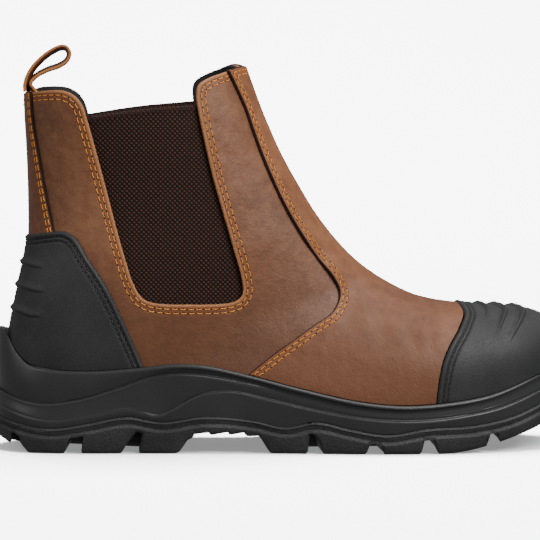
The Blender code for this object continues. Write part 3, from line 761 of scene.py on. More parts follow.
    @staticmethod
    def as_run(kept: list[tuple[Points, Points]]) -> Run:
        """Turn a list of places and normals into a row."""
        return Run(np.array([place for place, _ in kept]), np.array([normal for _, normal in kept]))

    def carve(self, relief: Relief) -> None:
        """Raise the sheet into relief and remember its edges for the rows of stitches."""
        self.measure_tree = self.measure()
        self.settle(relief)

    def close(self) -> None:
        """Join the two sides of the seam where the grid meets itself."""
        bmesh.ops.remove_doubles(self.mesh, verts=self.mesh.verts, dist=0.02)

    def move(self, verts: Sequence[bmesh.types.BMVert], proud: float) -> None:
        """Put points at a distance from the skin."""
        number = np.array([vert[self.number] for vert in verts])
        turn = np.array([vert[self.turn] for vert in verts])
        for vert, point in zip(verts, LAST.proud(number, turn, proud)):
            vert.co = point

    def turn_in(self, thick: float) -> None:
        """Carry the border through the thickness, so that the piece ends in a real edge."""
        rim = [edge for edge in self.mesh.edges if edge.is_boundary]
        grown = bmesh.ops.extrude_edge_only(self.mesh, edges=rim)["geom"]
        fresh = [item for item in grown if isinstance(item, bmesh.types.BMVert)]
        self.move(fresh, self.wrap.proud - thick)

    def double(self, thick: float) -> None:
        """Give the sheet a second face, so that it is a closed wall."""
        grown = bmesh.ops.extrude_face_region(self.mesh, geom=list(self.mesh.faces))["geom"]
        fresh = [item for item in grown if isinstance(item, bmesh.types.BMVert)]
        self.move(fresh, self.wrap.proud - thick)
        bmesh.ops.recalc_face_normals(self.mesh, faces=self.mesh.faces)


class Wire:
    """A socket of a material that takes part in sums."""

    def __init__(self, tree: "MaterialTree", socket: bpy.types.NodeSocket) -> None:
        """Keep the socket and the tree that it is in."""
        self.tree = tree
        self.socket = socket

    def math(self, operation: str, *others: "Wire | float") -> "Wire":
        """Add a Math node on this value and others."""
        values = [self, *others]
        node = self.tree.node("ShaderNodeMath", {"operation": operation}, dict(enumerate(values)))
        return Wire(self.tree, node.outputs[0])

    def __add__(self, other: "Wire | float") -> "Wire":
        """Add."""
        return self.math("ADD", other)

    __radd__ = __add__

    def __mul__(self, other: "Wire | float") -> "Wire":
        """Multiply."""
        return self.math("MULTIPLY", other)

    __rmul__ = __mul__

    def __sub__(self, other: "Wire | float") -> "Wire":
        """Subtract."""
        return self.math("SUBTRACT", other)

    def __rsub__(self, other: float) -> "Wire":
        """Subtract this value from a number."""
        return self * -1.0 + other

    def power(self, exponent: float) -> "Wire":
        """Raise to a power."""
        return self.math("POWER", exponent)

    def between(self, low: float, high: float, start: float = 0.0, end: float = 1.0) -> "Wire":
        """Map a stretch of values smoothly to another, held at its ends."""
        node = self.tree.node(
            "ShaderNodeMapRange",
            {"interpolation_type": "SMOOTHSTEP", "clamp": True},
            {0: self, 1: low, 2: high, 3: start, 4: end},
        )
        return Wire(self.tree, node.outputs[0])


class MaterialTree:
    """A material under construction, with its nodes made by one method."""

    def __init__(self, name: str) -> None:
        """Make an empty material with its shader and output."""
        self.material = bpy.data.materials.new(name)
        self.material.use_nodes = True
        self.nodes = self.material.node_tree.nodes
        self.links = self.material.node_tree.links
        self.shader = self.nodes["Principled BSDF"]

    def node(self, kind: str, settings: dict, values: dict) -> bpy.types.Node:
        """Add a node.

        Args:
            kind: The node's type.
            settings: Its properties, or a ramp's stops under "stops".
            values: Numbers, colours or wires for its input sockets.

        Returns:
            The node.
        """
        made = self.nodes.new(kind)
        for key, value in settings.items():
            if key == "stops":
                self.set_stops(made.color_ramp, value)
            else:
                setattr(made, key, value)
        for key, value in values.items():
            if isinstance(value, Wire):
                self.links.new(value.socket, made.inputs[key])
            else:
                made.inputs[key].default_value = value
        return made

    @staticmethod
    def set_stops(ramp: bpy.types.ColorRamp, stops: Sequence[tuple[float, tuple]]) -> None:
        """Give a ramp its stops."""
        while len(ramp.elements) < len(stops):
            ramp.elements.new(0.5)
        for element, (place, colour) in zip(ramp.elements, stops):
            element.position = place
            element.color = (*colour, 1.0)

    def coordinates(self) -> Wire:
        """Give the place on the object, in metres."""
        return Wire(self, self.node("ShaderNodeTexCoord", {}, {}).outputs["Object"])

    def axes(self) -> tuple[Wire, Wire, Wire]:
        """Give the place on the object as three numbers."""
        node = self.node("ShaderNodeSeparateXYZ", {}, {0: self.coordinates()})
        return tuple(Wire(self, socket) for socket in node.outputs)

    def attribute(self, name: str) -> Wire:
        """Read a number stored at the mesh's points."""
        return Wire(self, self.node("ShaderNodeAttribute", {"attribute_name": name}, {}).outputs["Fac"])

    def noise(self, grain: float, detail: float = 3.0, rough: float = 0.5, warp: float = 0.0) -> Wire:
        """Make clouds of a given grain size in millimetres."""
        node = self.node(
            "ShaderNodeTexNoise",
            {},
            {
                "Vector": self.coordinates(),
                "Scale": 1.0 / (grain * MM),
                "Detail": detail,
                "Roughness": rough,
                "Distortion": warp,
            },
        )
        return Wire(self, node.outputs[0])

    def cells(self, grain: float, feature: str = "F1") -> Wire:
        """Make rounded cells of a given size in millimetres."""
        node = self.node(
            "ShaderNodeTexVoronoi",
            {"feature": feature},
            {"Vector": self.coordinates(), "Scale": 1.0 / (grain * MM)},
        )
        return Wire(self, node.outputs["Distance"])

    def ramp(self, value: Wire, stops: Sequence[tuple[float, tuple]]) -> Wire:
        """Colour a value by stops."""
        node = self.node("ShaderNodeValToRGB", {"stops": stops}, {0: value})
        return Wire(self, node.outputs[0])

    def blend(self, one: "Wire | tuple", other: "Wire | tuple", amount: Wire, how: str = "MIX") -> Wire:
        """Mix two colours by an amount."""
        one = one if isinstance(one, Wire) else (*one, 1.0)
        other = other if isinstance(other, Wire) else (*other, 1.0)
        node = self.node(
            "ShaderNodeMix",
            {"data_type": "RGBA", "blend_type": how},
            {0: amount, 6: one, 7: other},
        )
        return Wire(self, node.outputs[2])

    def bump(self, height_wire: Wire, deep: float, under: "Wire | None" = None) -> Wire:
        """Turn a height from 0 to 1 into a normal, with its depth in millimetres."""
        values = {"Strength": 1.0, "Distance": deep * MM, "Height": height_wire}
        if under:
            values["Normal"] = under
        return Wire(self, self.node("ShaderNodeBump", {}, values).outputs[0])

    def dress(self, colour: "Wire | tuple", rough: "Wire | float", normal: "Wire | None", **uniform: float) -> None:
        """Connect the shader.

        Args:
            colour: The base colour.
            rough: The roughness.
            normal: The bumped normal.
            uniform: Values of other sockets that are the same all over.
        """
        for name, value in (("Base Color", colour), ("Roughness", rough), ("Normal", normal)):
            if isinstance(value, Wire):
                self.links.new(value.socket, self.shader.inputs[name])
            elif value is not None:
                self.shader.inputs[name].default_value = (*value, 1.0) if name == "Base Color" else value
        names = {socket.name.lower().replace(" ", "_"): socket.name for socket in self.shader.inputs}
        for name, value in uniform.items():
            self.shader.inputs[names[name]].default_value = value


@dataclass(frozen=True)
class Leather:
    """Oiled full-grain leather, with paler scuffs and warm edges along its seams, painted shade that darkens it
    towards the sole, and a cut edge colour that on some pieces is partly painted shade of a groove.
    """

    name: str
    deep: tuple[float, float, float]
    middle: tuple[float, float, float]
    pale: tuple[float, float, float]
    warm: tuple[float, float, float] = (0.25, 0.072, 0.016)
    # Cut edge colour; a near-black one is partly a dark edge and partly painted shade of the groove beside it.
    edge_colour_and_shade: tuple[float, float, float] = (0.34, 0.125, 0.040)
    rough: float = 0.54
    edge: float = 0.85
    dull_edge: float = 0.4

    def make(self) -> bpy.types.Material:
        """Build the material."""
        tree = MaterialTree(self.name)
        clouds = tree.noise(46.0, 3.0, 0.5, 0.3)
        mottle = tree.noise(6.0, 5.0, 0.62)
        grain = tree.noise(0.6, 3.0, 0.6)
        pores = tree.cells(1.0)
        tone = clouds * 0.45 + mottle * 0.35 + grain * 0.20
        colour = tree.ramp(tone, [(0.36, self.deep), (0.5, self.middle), (0.66, self.pale)])
        # Painted shade: the leather is darkened towards the sole, from 130 mm high down to 30 mm.
        colour = tree.blend(colour, self.deep, tree.axes()[2].between(0.030, 0.130, 0.74, 0.0))
        border = tree.attribute("border")
        near = border.between(1.2, 7.5, 0.34, 0.0)
        colour = tree.blend(colour, self.warm, near)
        # Cut edges take the edge colour: tan raw leather on the quarters and the strap, and on the strip and the vamp
        # a near black that is partly their dark cut edge and partly painted shade of the groove beside it.
        colour = tree.blend(colour, self.edge_colour_and_shade, border.between(self.edge * 0.55, self.edge, 1.0, 0.0))
        rough = tone.between(0.3, 0.7, self.rough + 0.07, self.rough - 0.07)
        rough = rough + border.between(self.edge * 0.55, self.edge, self.dull_edge, 0.0)
        normal = tree.bump(tree.noise(9.0, 4.0, 0.55, 0.6), 0.35)
        normal = tree.bump(tree.noise(2.2, 3.0, 0.6), 0.14, normal)
        normal = tree.bump(pores.between(0.0, 0.6) * 0.5 + grain * 0.5, 0.08, normal)
        tree.dress(colour, rough, normal, specular_ior_level=0.36)
        return tree.material


@dataclass(frozen=True)
class Moulding:
    """Moulded black rubber with a fine grain."""

    name: str
    dark: tuple[float, float, float]
    light: tuple[float, float, float]
    rough: float
    grain: float
    deep: float
    gloss: float = 0.25

    def make(self) -> bpy.types.Material:
        """Build the material."""
        tree = MaterialTree(self.name)
        clouds = tree.noise(24.0, 4.0, 0.5)
        speck = tree.noise(self.grain, 2.0, 0.6)
        tone = clouds * 0.6 + speck * 0.4
        colour = tree.ramp(tone, [(0.35, self.dark), (0.65, self.light)])
        rough = tone.between(0.3, 0.7, self.rough + 0.07, self.rough - 0.05)
        normal = tree.bump(speck, self.deep)
        tree.dress(colour, rough, normal, specular_ior_level=self.gloss)
        return tree.material


@dataclass(frozen=True)
class Elastic:
    """Woven elastic: raised brown knots in diagonal rows over a near black ground."""

    name: str = "woven_elastic"
    ground: tuple[float, float, float] = (0.004, 0.0025, 0.002)
    knot: tuple[float, float, float] = (0.070, 0.027, 0.015)
    pitch: float = 1.75

    def make(self) -> bpy.types.Material:
        """Build the material."""
        tree = MaterialTree(self.name)
        x, _, z = tree.axes()
        turn = 2 * math.pi / (self.pitch * MM * math.sqrt(2))
        one = ((x + z) * turn).math("COSINE") * 0.5 + 0.5
        other = ((x - z) * turn).math("COSINE") * 0.5 + 0.5
        knots = (one * other).power(0.8)
        fibres = tree.noise(0.3, 2.0, 0.7)
        tone = knots * (fibres * 0.9 + 0.55)
        colour = tree.ramp(tone, [(0.12, self.ground), (0.62, self.knot), (1.0, self.knot)])
        hem = tree.attribute("border").between(2.2, 2.9, 1.0, 0.0)
        ribs = (x * (2 * math.pi / (1.1 * MM))).math("COSINE") * 0.5 + 0.5
        colour = tree.blend(colour, tree.blend((0.014, 0.007, 0.005), (0.045, 0.020, 0.013), ribs), hem)
        normal = tree.bump(knots * 0.8 + fibres * 0.2, 0.45)
        tree.dress(colour, 0.8, normal, specular_ior_level=0.2)
        return tree.material


@dataclass(frozen=True)
class Textile:
    """A plain matt textile or thread."""

    name: str
    dark: tuple[float, float, float]
    light: tuple[float, float, float]
    grain: float = 0.8
    rough: float = 0.9

    def make(self) -> bpy.types.Material:
        """Build the material."""
        tree = MaterialTree(self.name)
        speck = tree.noise(self.grain, 3.0, 0.6)
        colour = tree.ramp(speck, [(0.35, self.dark), (0.65, self.light)])
        tree.dress(colour, self.rough, tree.bump(speck, 0.12))
        return tree.material


@dataclass
class Finishes:
    """Every finish of the boot, made once."""

    quarter: bpy.types.Material = field(default_factory=lambda: Leather(
        "quarter_leather", (0.092, 0.033, 0.0135), (0.163, 0.063, 0.027), (0.236, 0.103, 0.050),
        edge_colour_and_shade=(0.32, 0.130, 0.048), edge=1.7, dull_edge=0.05).make())
    # The strip's near-black edge colour is partly its dark cut edge and partly painted shade of the groove beside it.
    strip: bpy.types.Material = field(default_factory=lambda: Leather(
        "strip_leather", (0.104, 0.036, 0.014), (0.150, 0.054, 0.022), (0.205, 0.082, 0.038),
        edge_colour_and_shade=(0.010, 0.004, 0.002)).make())
    strap: bpy.types.Material = field(default_factory=lambda: Leather(
        "strap_leather", (0.100, 0.034, 0.014), (0.150, 0.053, 0.023), (0.210, 0.084, 0.040),
        edge_colour_and_shade=(0.36, 0.135, 0.040), dull_edge=0.05).make())
    # The vamp's near-black edge colour is partly its dark cut edge and partly painted shade along its lapped edge.
    vamp: bpy.types.Material = field(default_factory=lambda: Leather(
        "vamp_leather", (0.105, 0.036, 0.013), (0.188, 0.069, 0.027), (0.262, 0.106, 0.047),
        edge_colour_and_shade=(0.020, 0.007, 0.004), rough=0.58).make())
    guard: bpy.types.Material = field(default_factory=lambda: Moulding(
        "guard_rubber", (0.016, 0.016, 0.016), (0.030, 0.030, 0.030), 0.57, 0.8, 0.16, 0.31).make())
    sole: bpy.types.Material = field(default_factory=lambda: Moulding(
        "satin_rubber", (0.017, 0.017, 0.017), (0.025, 0.025, 0.025), 0.38, 0.9, 0.03, 0.45).make())
    tread: bpy.types.Material = field(default_factory=lambda: Moulding(
        "grainy_rubber", (0.008, 0.008, 0.008), (0.026, 0.026, 0.026), 0.55, 0.9, 0.45, 0.45).make())
    elastic: bpy.types.Material = field(default_factory=lambda: Elastic().make())
    lining: bpy.types.Material = field(default_factory=lambda: Textile(
        "dark_lining", (0.010, 0.009, 0.009), (0.020, 0.018, 0.018)).make())
    footbed: bpy.types.Material = field(default_factory=lambda: Textile(
        "grey_footbed", (0.030, 0.030, 0.031), (0.060, 0.060, 0.062)).make())
    gold_thread: bpy.types.Material = field(default_factory=lambda: Textile(
        "gold_thread", (0.46, 0.14, 0.010), (0.78, 0.30, 0.030), 0.5, 0.55).make())
    black_thread: bpy.types.Material = field(default_factory=lambda: Textile(
        "black_thread", (0.004, 0.004, 0.004), (0.010, 0.010, 0.010), 0.5, 0.6).make())
    # Near black, for the needle holes and for the painted shade beads beside the stitches.
    needle_hole: bpy.types.Material = field(default_factory=lambda: Textile(
        "needle_hole", (0.006, 0.003, 0.002), (0.010, 0.005, 0.003), 0.5, 0.95).make())


def add_piece(name: str, mesh: bmesh.types.BMesh, slot: str, *materials: bpy.types.Material) -> bpy.types.Object:
    """Turn a mesh in millimetres into a finished piece that rides on the boot.

    Args:
        name: The piece's name.
        mesh: The mesh, in the maker's frame.
        slot: The material slot of the record that it takes its finish from; not used.
        materials: Its finishes.

    Returns:
        The piece.
    """
    for vert in mesh.verts:
        if vert.co.z > SHAFT_FOOT and vert.co.y > 0:
            up = min((vert.co.z - SHAFT_FOOT) / 50.0, 1.0)
            aside = min(vert.co.y / 25.0, 1.0)
            vert.co.z += INNER_RISE * up * up * (3 - 2 * up) * aside * aside * (3 - 2 * aside)
    bmesh.ops.translate(mesh, vec=(-MIDDLE[0], -MIDDLE[1], 0.0), verts=mesh.verts)
    bmesh.ops.scale(mesh, vec=(MM, MM, MM), verts=mesh.verts)
    data = bpy.data.meshes.new(name)
    mesh.to_mesh(data)
    mesh.free()
    data.shade_smooth()
    data.set_sharp_from_angle(angle=math.radians(48))
    piece = bpy.data.objects.new(name, data)
    bpy.context.scene.collection.objects.link(piece)
    for material in materials:
        data.materials.append(material)
    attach(piece, "root")
    LOG.info("%s: %d faces", name, len(data.polygons))
    return piece


def sweep(points: Points, aside: Points, up: Points, section: Points) -> bmesh.types.BMesh:
    """Carry a closed section along a line.

    Args:
        points: The line.
        aside: The direction of the section's first axis at each point.
        up: The direction of its second axis.
        section: The section's points, as rows of two numbers.

    Returns:
        The closed tube.
    """
    mesh = bmesh.new()
    count = len(section)
    bmesh.ops.create_grid(mesh, x_segments=len(points) - 1, y_segments=count, size=0.5)
    for vert in mesh.verts:
        row = int(round((vert.co.x + 0.5) * (len(points) - 1)))
        column = int(round((vert.co.y + 0.5) * count)) % count
        vert.co = points[row] + aside[row] * section[column][0] + up[row] * section[column][1]
    bmesh.ops.remove_doubles(mesh, verts=mesh.verts, dist=1e-4)
    bmesh.ops.holes_fill(mesh, edges=[edge for edge in mesh.edges if edge.is_boundary], sides=0)
    bmesh.ops.recalc_face_normals(mesh, faces=mesh.faces)
    return mesh


def rim_line(rise: float, ring: Points) -> Points:
    """Give the top of the rim from heel to toe, raised, seen from the side."""
    side = ring[: len(ring) // 2 + 1]
    first, last = side[0], side[-1]
    line = [(-175.0, first[2])] + [(x, z) for x, _, z in side] + [(175.0, last[2] + 4)]
    return np.array(line) + (0.0, rise)


def halfway(low: Sequence, high: Sequence) -> list[tuple[float, float]]:
    """Give the line midway between two lines of heights."""
    places = [place for place, _ in high]
    middle = (height(low, np.array(places)) + height(high, np.array(places))) / 2
    return list(zip(places, middle))


@dataclass(frozen=True)
class WallStep:
    """A ring of a wall: its line, how far above it, how deep set, and its share of the heel tuck.

    A ring may be set at another depth from the arch forwards, and round the heel.
    """

    line: Sequence[tuple[float, float]]
    rise: float
    inset: float
    tuck: float = 0.0
    front_inset: float | None = None
    heel_inset: float | None = None

    def insets(self, along: Points) -> Points:
        """Give how deep the ring is set at places along the boot."""
        depth = np.full(len(along), self.inset)
        for other, (start, end) in ((self.front_inset, TO_THE_FRONT), (self.heel_inset, TO_THE_HEEL)):
            if other is not None:
                part = np.clip((along - start) / (end - start), 0, 1)
                depth += (other - self.inset) * part ** 2 * (3 - 2 * part)
        return depth


TO_THE_FRONT = (-55.0, -5.0)
TO_THE_HEEL = (-64.0, -76.0)
BAND_MIDDLE = halfway(HEEL_CREASE, RIM_TOP)
MIDSOLE_WALL = [
    WallStep(TREAD_TOP, 0.3, 1.5), WallStep(TREAD_TOP, 0.4, 1.2), WallStep(TREAD_TOP, 1.1, 0.9),
    WallStep(ARCH_CREASE, -1.8, 0.5, 0.0, None, 0.65), WallStep(ARCH_CREASE, -0.8, 0.5, 0.0, None, 0.7),
    WallStep(ARCH_CREASE, -0.2, 0.9, 0.1, None, 0.75), WallStep(ARCH_CREASE, 0.3, 1.9, 0.1, None, 0.8),
    WallStep(ARCH_CREASE, 1.3, 1.8, 0.1, None, 0.9),
    WallStep(HEEL_CREASE, -1.9, 1.1, 0.3, 1.95), WallStep(HEEL_CREASE, -0.8, 1.1, 0.3, 2.05),
    WallStep(HEEL_CREASE, -0.2, 1.5, 0.3, 2.1), WallStep(HEEL_CREASE, 0.3, 2.7, 0.3, 2.15),
    WallStep(HEEL_CREASE, 1.1, 2.5, 0.35, 2.15), WallStep(BAND_MIDDLE, 0.0, 1.9, 0.5, 1.9),
    WallStep(RIM_TOP, -2.0, 1.7, 0.9, 1.5), WallStep(RIM_TOP, -1.0, 1.9, 1.0, 1.6),
    WallStep(RIM_TOP, -0.3, 2.5, 1.0, 2.3),
    WallStep(RIM_TOP, 0.0, 3.3, 1.0), WallStep(RIM_TOP, -0.3, 4.1, 1.0),
]
OUTSOLE_WALL = [
    WallStep(TREAD_BOTTOM, 0.0, 3.0), WallStep(TREAD_BOTTOM, 0.2, 1.6), WallStep(TREAD_BOTTOM, 1.2, 0.7),
    WallStep(TREAD_BOTTOM, 2.4, 0.3), WallStep(TREAD_TOP, -5.2, 0.0), WallStep(TREAD_TOP, -4.2, 0.0),
    WallStep(TREAD_TOP, -3.7, 0.5), WallStep(TREAD_TOP, -3.4, 1.2), WallStep(TREAD_TOP, -1.6, 0.8),
    WallStep(TREAD_TOP, -0.6, 0.6), WallStep(TREAD_TOP, 0.0, 1.1),
]


class Sole:
    """The smooth midsole with its rim, and the tread with its lugs."""

    steps: int = 10

    def plan(self, step: WallStep) -> Points:
        """Draw the sole's plan, drawn in as one ring of its wall is."""
        outer = [(along, -reach) for along, reach, _ in SOLE_PLAN]
        inner = [(along, reach) for along, _, reach in SOLE_PLAN[-2:0:-1]]
        points = np.array(outer + inner)
        padded = np.concatenate([points[-2:], points, points[:3]])
        places = np.arange(len(points) * self.steps) / self.steps + 2
        drawn = smooth(padded, places)
        ahead = smooth(padded, places + 0.02) - smooth(padded, places - 0.02)
        self.inward = -np.stack([ahead[:, 1], -ahead[:, 0]], axis=1)
        self.inward /= np.linalg.norm(self.inward, axis=1, keepdims=True)
        drawn_in = step.insets(drawn[:, 0]) + step.tuck * height(HEEL_TUCK, drawn[:, 0])
        return drawn + self.inward * drawn_in[:, None]

    def ring(self, step: WallStep) -> Points:
        """Give one ring of the sole's wall, nowhere below the floor."""
        plan = self.plan(step)
        return np.column_stack([plan, np.maximum(height(step.line, plan[:, 0]) + step.rise, 0.0)])

    def rim(self) -> Points:
        """Give the ring along the top of the rim, as the solids have it."""
        return self.ring(WallStep(RIM_TOP, 0.0, 2.2, 1.0))

    @staticmethod
    def loft(rings: Points) -> bmesh.types.BMesh:
        """Join closed rings into a solid with flat ends."""
        mesh = bmesh.new()
        count = rings.shape[1]
        bmesh.ops.create_grid(mesh, x_segments=len(rings) - 1, y_segments=count, size=0.5)
        for vert in mesh.verts:
            row = int(round((vert.co.x + 0.5) * (len(rings) - 1)))
            vert.co = rings[row][int(round((vert.co.y + 0.5) * count)) % count]
        bmesh.ops.remove_doubles(mesh, verts=mesh.verts, dist=1e-4)
        bmesh.ops.holes_fill(mesh, edges=[edge for edge in mesh.edges if edge.is_boundary], sides=0)
        bmesh.ops.recalc_face_normals(mesh, faces=mesh.faces)
        return mesh

    def make_midsole(self, finishes: Finishes) -> bpy.types.Object:
        """Sweep the wall, roll its rim over and run it down inside to the footbed's seat."""
        rows = np.array([self.ring(step) for step in MIDSOLE_WALL])
        wall = smooth(rows, np.linspace(0, len(rows) - 1, (len(rows) - 1) * 3 + 1))
        body = Sheet(Wrap(0.0, LAST_SECTION, 0.0, 2 * math.pi, 4.0, GAP, 5.0))
        tree = BVHTree.FromBMesh(body.mesh)
        body.mesh.free()
        top = wall[-1]
        seat = height(PLATFORM, top[:, 0])
        hollow = []
        for share in (0.0, 0.12, 0.4, 0.7, 1.0):
            level = top[:, 2] + (np.minimum(seat, top[:, 2] - 2) - top[:, 2]) * share
            hollow.append(self.reach_in(tree, top, level))
        mesh = self.loft(np.concatenate([wall, np.array(hollow)]))
        piece = add_piece("midsole_body", mesh, "midsole_rubber", finishes.sole)
        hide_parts("midsole")
        return piece

    def reach_in(self, tree: BVHTree, ring: Points, level: Points) -> Points:
        """Carry a ring inwards, at a level, until it meets the upper."""
        met = []
        for point, inward, z in zip(ring, self.inward, level):
            start = Vector((point[0], point[1], z)) - Vector((*inward, 0.0)) * 4.0
            hit = tree.ray_cast(start, Vector((*inward, 0.0)), 60.0)[0]
            met.append(hit if hit else Vector((point[0], point[1], z)) + Vector((*inward, 0.0)) * 6.0)
        return np.array(met)

    @staticmethod
    def prism(points: Sequence, low: float, high: float) -> bmesh.types.BMesh:
        """Extrude a side-view outline across the boot, between two places."""
        mesh = bmesh.new()
        bmesh.ops.create_circle(mesh, cap_ends=True, segments=len(points), radius=1.0)
        mesh.verts.ensure_lookup_table()
        for vert, (x, z) in zip(mesh.verts, points):
            vert.co = (x, low, z)
        grown = bmesh.ops.extrude_face_region(mesh, geom=list(mesh.faces))["geom"]
        moved = [item for item in grown if isinstance(item, bmesh.types.BMVert)]
        bmesh.ops.translate(mesh, verts=moved, vec=(0, high - low, 0))
        bmesh.ops.recalc_face_normals(mesh, faces=mesh.faces)
        return mesh

    def carve_lugs(self, mesh: bmesh.types.BMesh) -> bmesh.types.BMesh:
        """Cut the gaps between the lugs out of the tread and soften every edge.

        Args:
            mesh: The plain tread.

        Returns:
            The tread with its lugs.
        """
        tools = bmesh.new()
        for gap in LUG_GAPS:
            pour(self.prism(gap, -BEYOND, -MIDDLE_HALF), tools)
            pour(self.prism(gap, MIDDLE_HALF, BEYOND), tools)
        pour(self.prism(ARCH_GAP, -BEYOND, BEYOND), tools)
        for place, wide in MIDDLE_GAPS:
            bar = [(place, -3.0), (place, 5.0), (place + wide, 5.0), (place + wide, -3.0)]
            pour(self.prism(bar, -MIDDLE_HALF + 0.4, MIDDLE_HALF - 0.4), tools)
        made = []
        for name, source in (("plain_tread", mesh), ("lug_gaps", tools)):
            data = bpy.data.meshes.new(name)
            source.to_mesh(data)
            source.free()
            made.append(bpy.data.objects.new(name, data))
            bpy.context.scene.collection.objects.link(made[-1])
        tread, cutter = made
        cut = tread.modifiers.new("gaps", "BOOLEAN")
        cut.operation = "DIFFERENCE"
        cut.object = cutter
        graph = bpy.context.evaluated_depsgraph_get()
        result = bmesh.new()
        result.from_mesh(tread.evaluated_get(graph).data)
        for item in made:
            data = item.data
            bpy.data.objects.remove(item)
            bpy.data.meshes.remove(data)
        self.soften(result, 1.2)
        return result

    @staticmethod
    def soften(mesh: bmesh.types.BMesh, width: float) -> None:
        """Round the sharp outer edges, and put back any point that strays from the form."""
        bmesh.ops.remove_doubles(mesh, verts=mesh.verts, dist=0.05)
        bmesh.ops.triangulate(mesh, faces=[face for face in mesh.faces if len(face.verts) > 4])
        form = BVHTree.FromBMesh(mesh)
        sharp = [
            edge for edge in mesh.edges
            if len(edge.link_faces) == 2 and edge.is_convex and edge.calc_face_angle(0.0) > math.radians(40)
        ]
        bmesh.ops.bevel(
            mesh, geom=sharp, offset=width, offset_type="OFFSET", segments=2, profile=0.5, affect="EDGES",
            clamp_overlap=False,
        )
        for vert in mesh.verts:
            nearest, _, _, miss = form.find_nearest(vert.co)
            if miss > 0.5 * width:
                vert.co = nearest
        bmesh.ops.remove_doubles(mesh, verts=mesh.verts, dist=0.02)

    def make_outsole(self, finishes: Finishes) -> bpy.types.Object:
        """Make the tread with its lugs."""
        rows = np.array([self.ring(step) for step in OUTSOLE_WALL])
        mesh = self.carve_lugs(self.loft(rows))
        piece = add_piece("tread_body", mesh, "outsole_rubber", finishes.tread)
        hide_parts("outsole")
        return piece


def slab_line(rise: float) -> Points:
    """Give the footbed's seat from heel to toe, raised."""
    places = np.linspace(PLATFORM[0][0], PLATFORM[-1][0], 60)
    return np.column_stack([places, height(PLATFORM, places) + rise])


def rounded(border: Points, radius: float) -> Points:
    """Give the drop of an edge that is rounded over a radius."""
    part = np.clip(1 - border / radius, 0, 1)
    return -radius * (1 - np.sqrt(np.clip(1 - part ** 2, 0, 1)))


def dent(distance: Points, width: float) -> Points:
    """Give a soft hollow, 1 deep at no distance."""
    return np.exp(-(distance / width) ** 2)


def pour(source: bmesh.types.BMesh, target: bmesh.types.BMesh) -> None:
    """Move one mesh into another."""
    data = bpy.data.meshes.new("poured")
    source.to_mesh(data)
    source.free()
    target.from_mesh(data)
    bpy.data.meshes.remove(data)


@dataclass
class Seam:
    """Collects the stitches of one thread, the needle holes between them, and a dark bead of painted shade beside each
    stitch.
    """

    name: str
    thread: bpy.types.Material
    # The hole's near-black finish also colours the painted shade beads beside the stitches.
    hole: bpy.types.Material
    pitch: float = NEEDLE_PITCH
    thick: float = 0.64
    between: float = 0.85
    bow: float = 0.30
    batch: int = 24

    def __post_init__(self) -> None:
        """Start with no stitches."""
        self.threads = bmesh.new()
        self.holes = bmesh.new()

    def sew(self, runs: Iterable[Run]) -> None:
        """Sew along rows."""
        for run in runs:
            packed = evenly(np.hstack([run.points, run.normals]), self.pitch)
            for start in range(0, len(packed) - 1, self.batch):
                self.sew_some(packed[start:start + self.batch + 1])

    def sew_some(self, packed: Points) -> None:
        """Sew a few stitches in a mesh of their own, which keeps each operator quick.

        Args:
            packed: Places and normals, one row for each needle hole.
        """
        threads, holes = bmesh.new(), bmesh.new()
        for here, after in zip(packed, packed[1:]):
            ahead = Vector(after[:3] - here[:3])
            if ahead.length < self.pitch * 0.5:
                continue
            along = ahead.normalized()
            up = (Vector(here[3:]) - along * along.dot(here[3:])).normalized()
            turn = Matrix((up.cross(along), up, along)).transposed().to_4x4()
            middle = Matrix.Translation(Vector(here[:3]) + ahead / 2) @ turn
            half = (ahead.length - self.between) / 2
            made = bmesh.ops.create_uvsphere(threads, u_segments=6, v_segments=8, radius=1.0)["verts"]
            for vert in made:
                bowed = 1 - vert.co.z ** 2
                slim = self.thick / 2 * bowed ** -0.22 if bowed > 0.05 else self.thick / 2
                place = (vert.co.x * slim + self.bow * (bowed - 0.5), vert.co.y * slim + 0.08, vert.co.z * half)
                vert.co = middle @ Vector(place)
            hole = Matrix.Translation(Vector(here[:3]) + up * 0.02) @ turn @ Matrix.Diagonal((0.42, 0.12, 0.46, 1.0))
            # A dark flat bead beside each stitch is painted shade, standing in for the shadow of the groove along the
            # thread.
            shade = middle @ Matrix.Translation((-0.42, 0.0, 0.1)) @ Matrix.Diagonal((0.20, 0.07, half * 0.72, 1.0))
            bmesh.ops.create_icosphere(holes, subdivisions=1, radius=1.0, matrix=hole)
            bmesh.ops.create_icosphere(holes, subdivisions=1, radius=1.0, matrix=shade)
        pour(threads, self.threads)
        pour(holes, self.holes)

    def finish(self, slot: str) -> None:
        """Turn the stitches, and the holes with the painted shade beads, into two pieces."""
        add_piece(self.name, self.threads, slot, self.thread)
        add_piece(self.name + "_holes", self.holes, slot, self.hole)


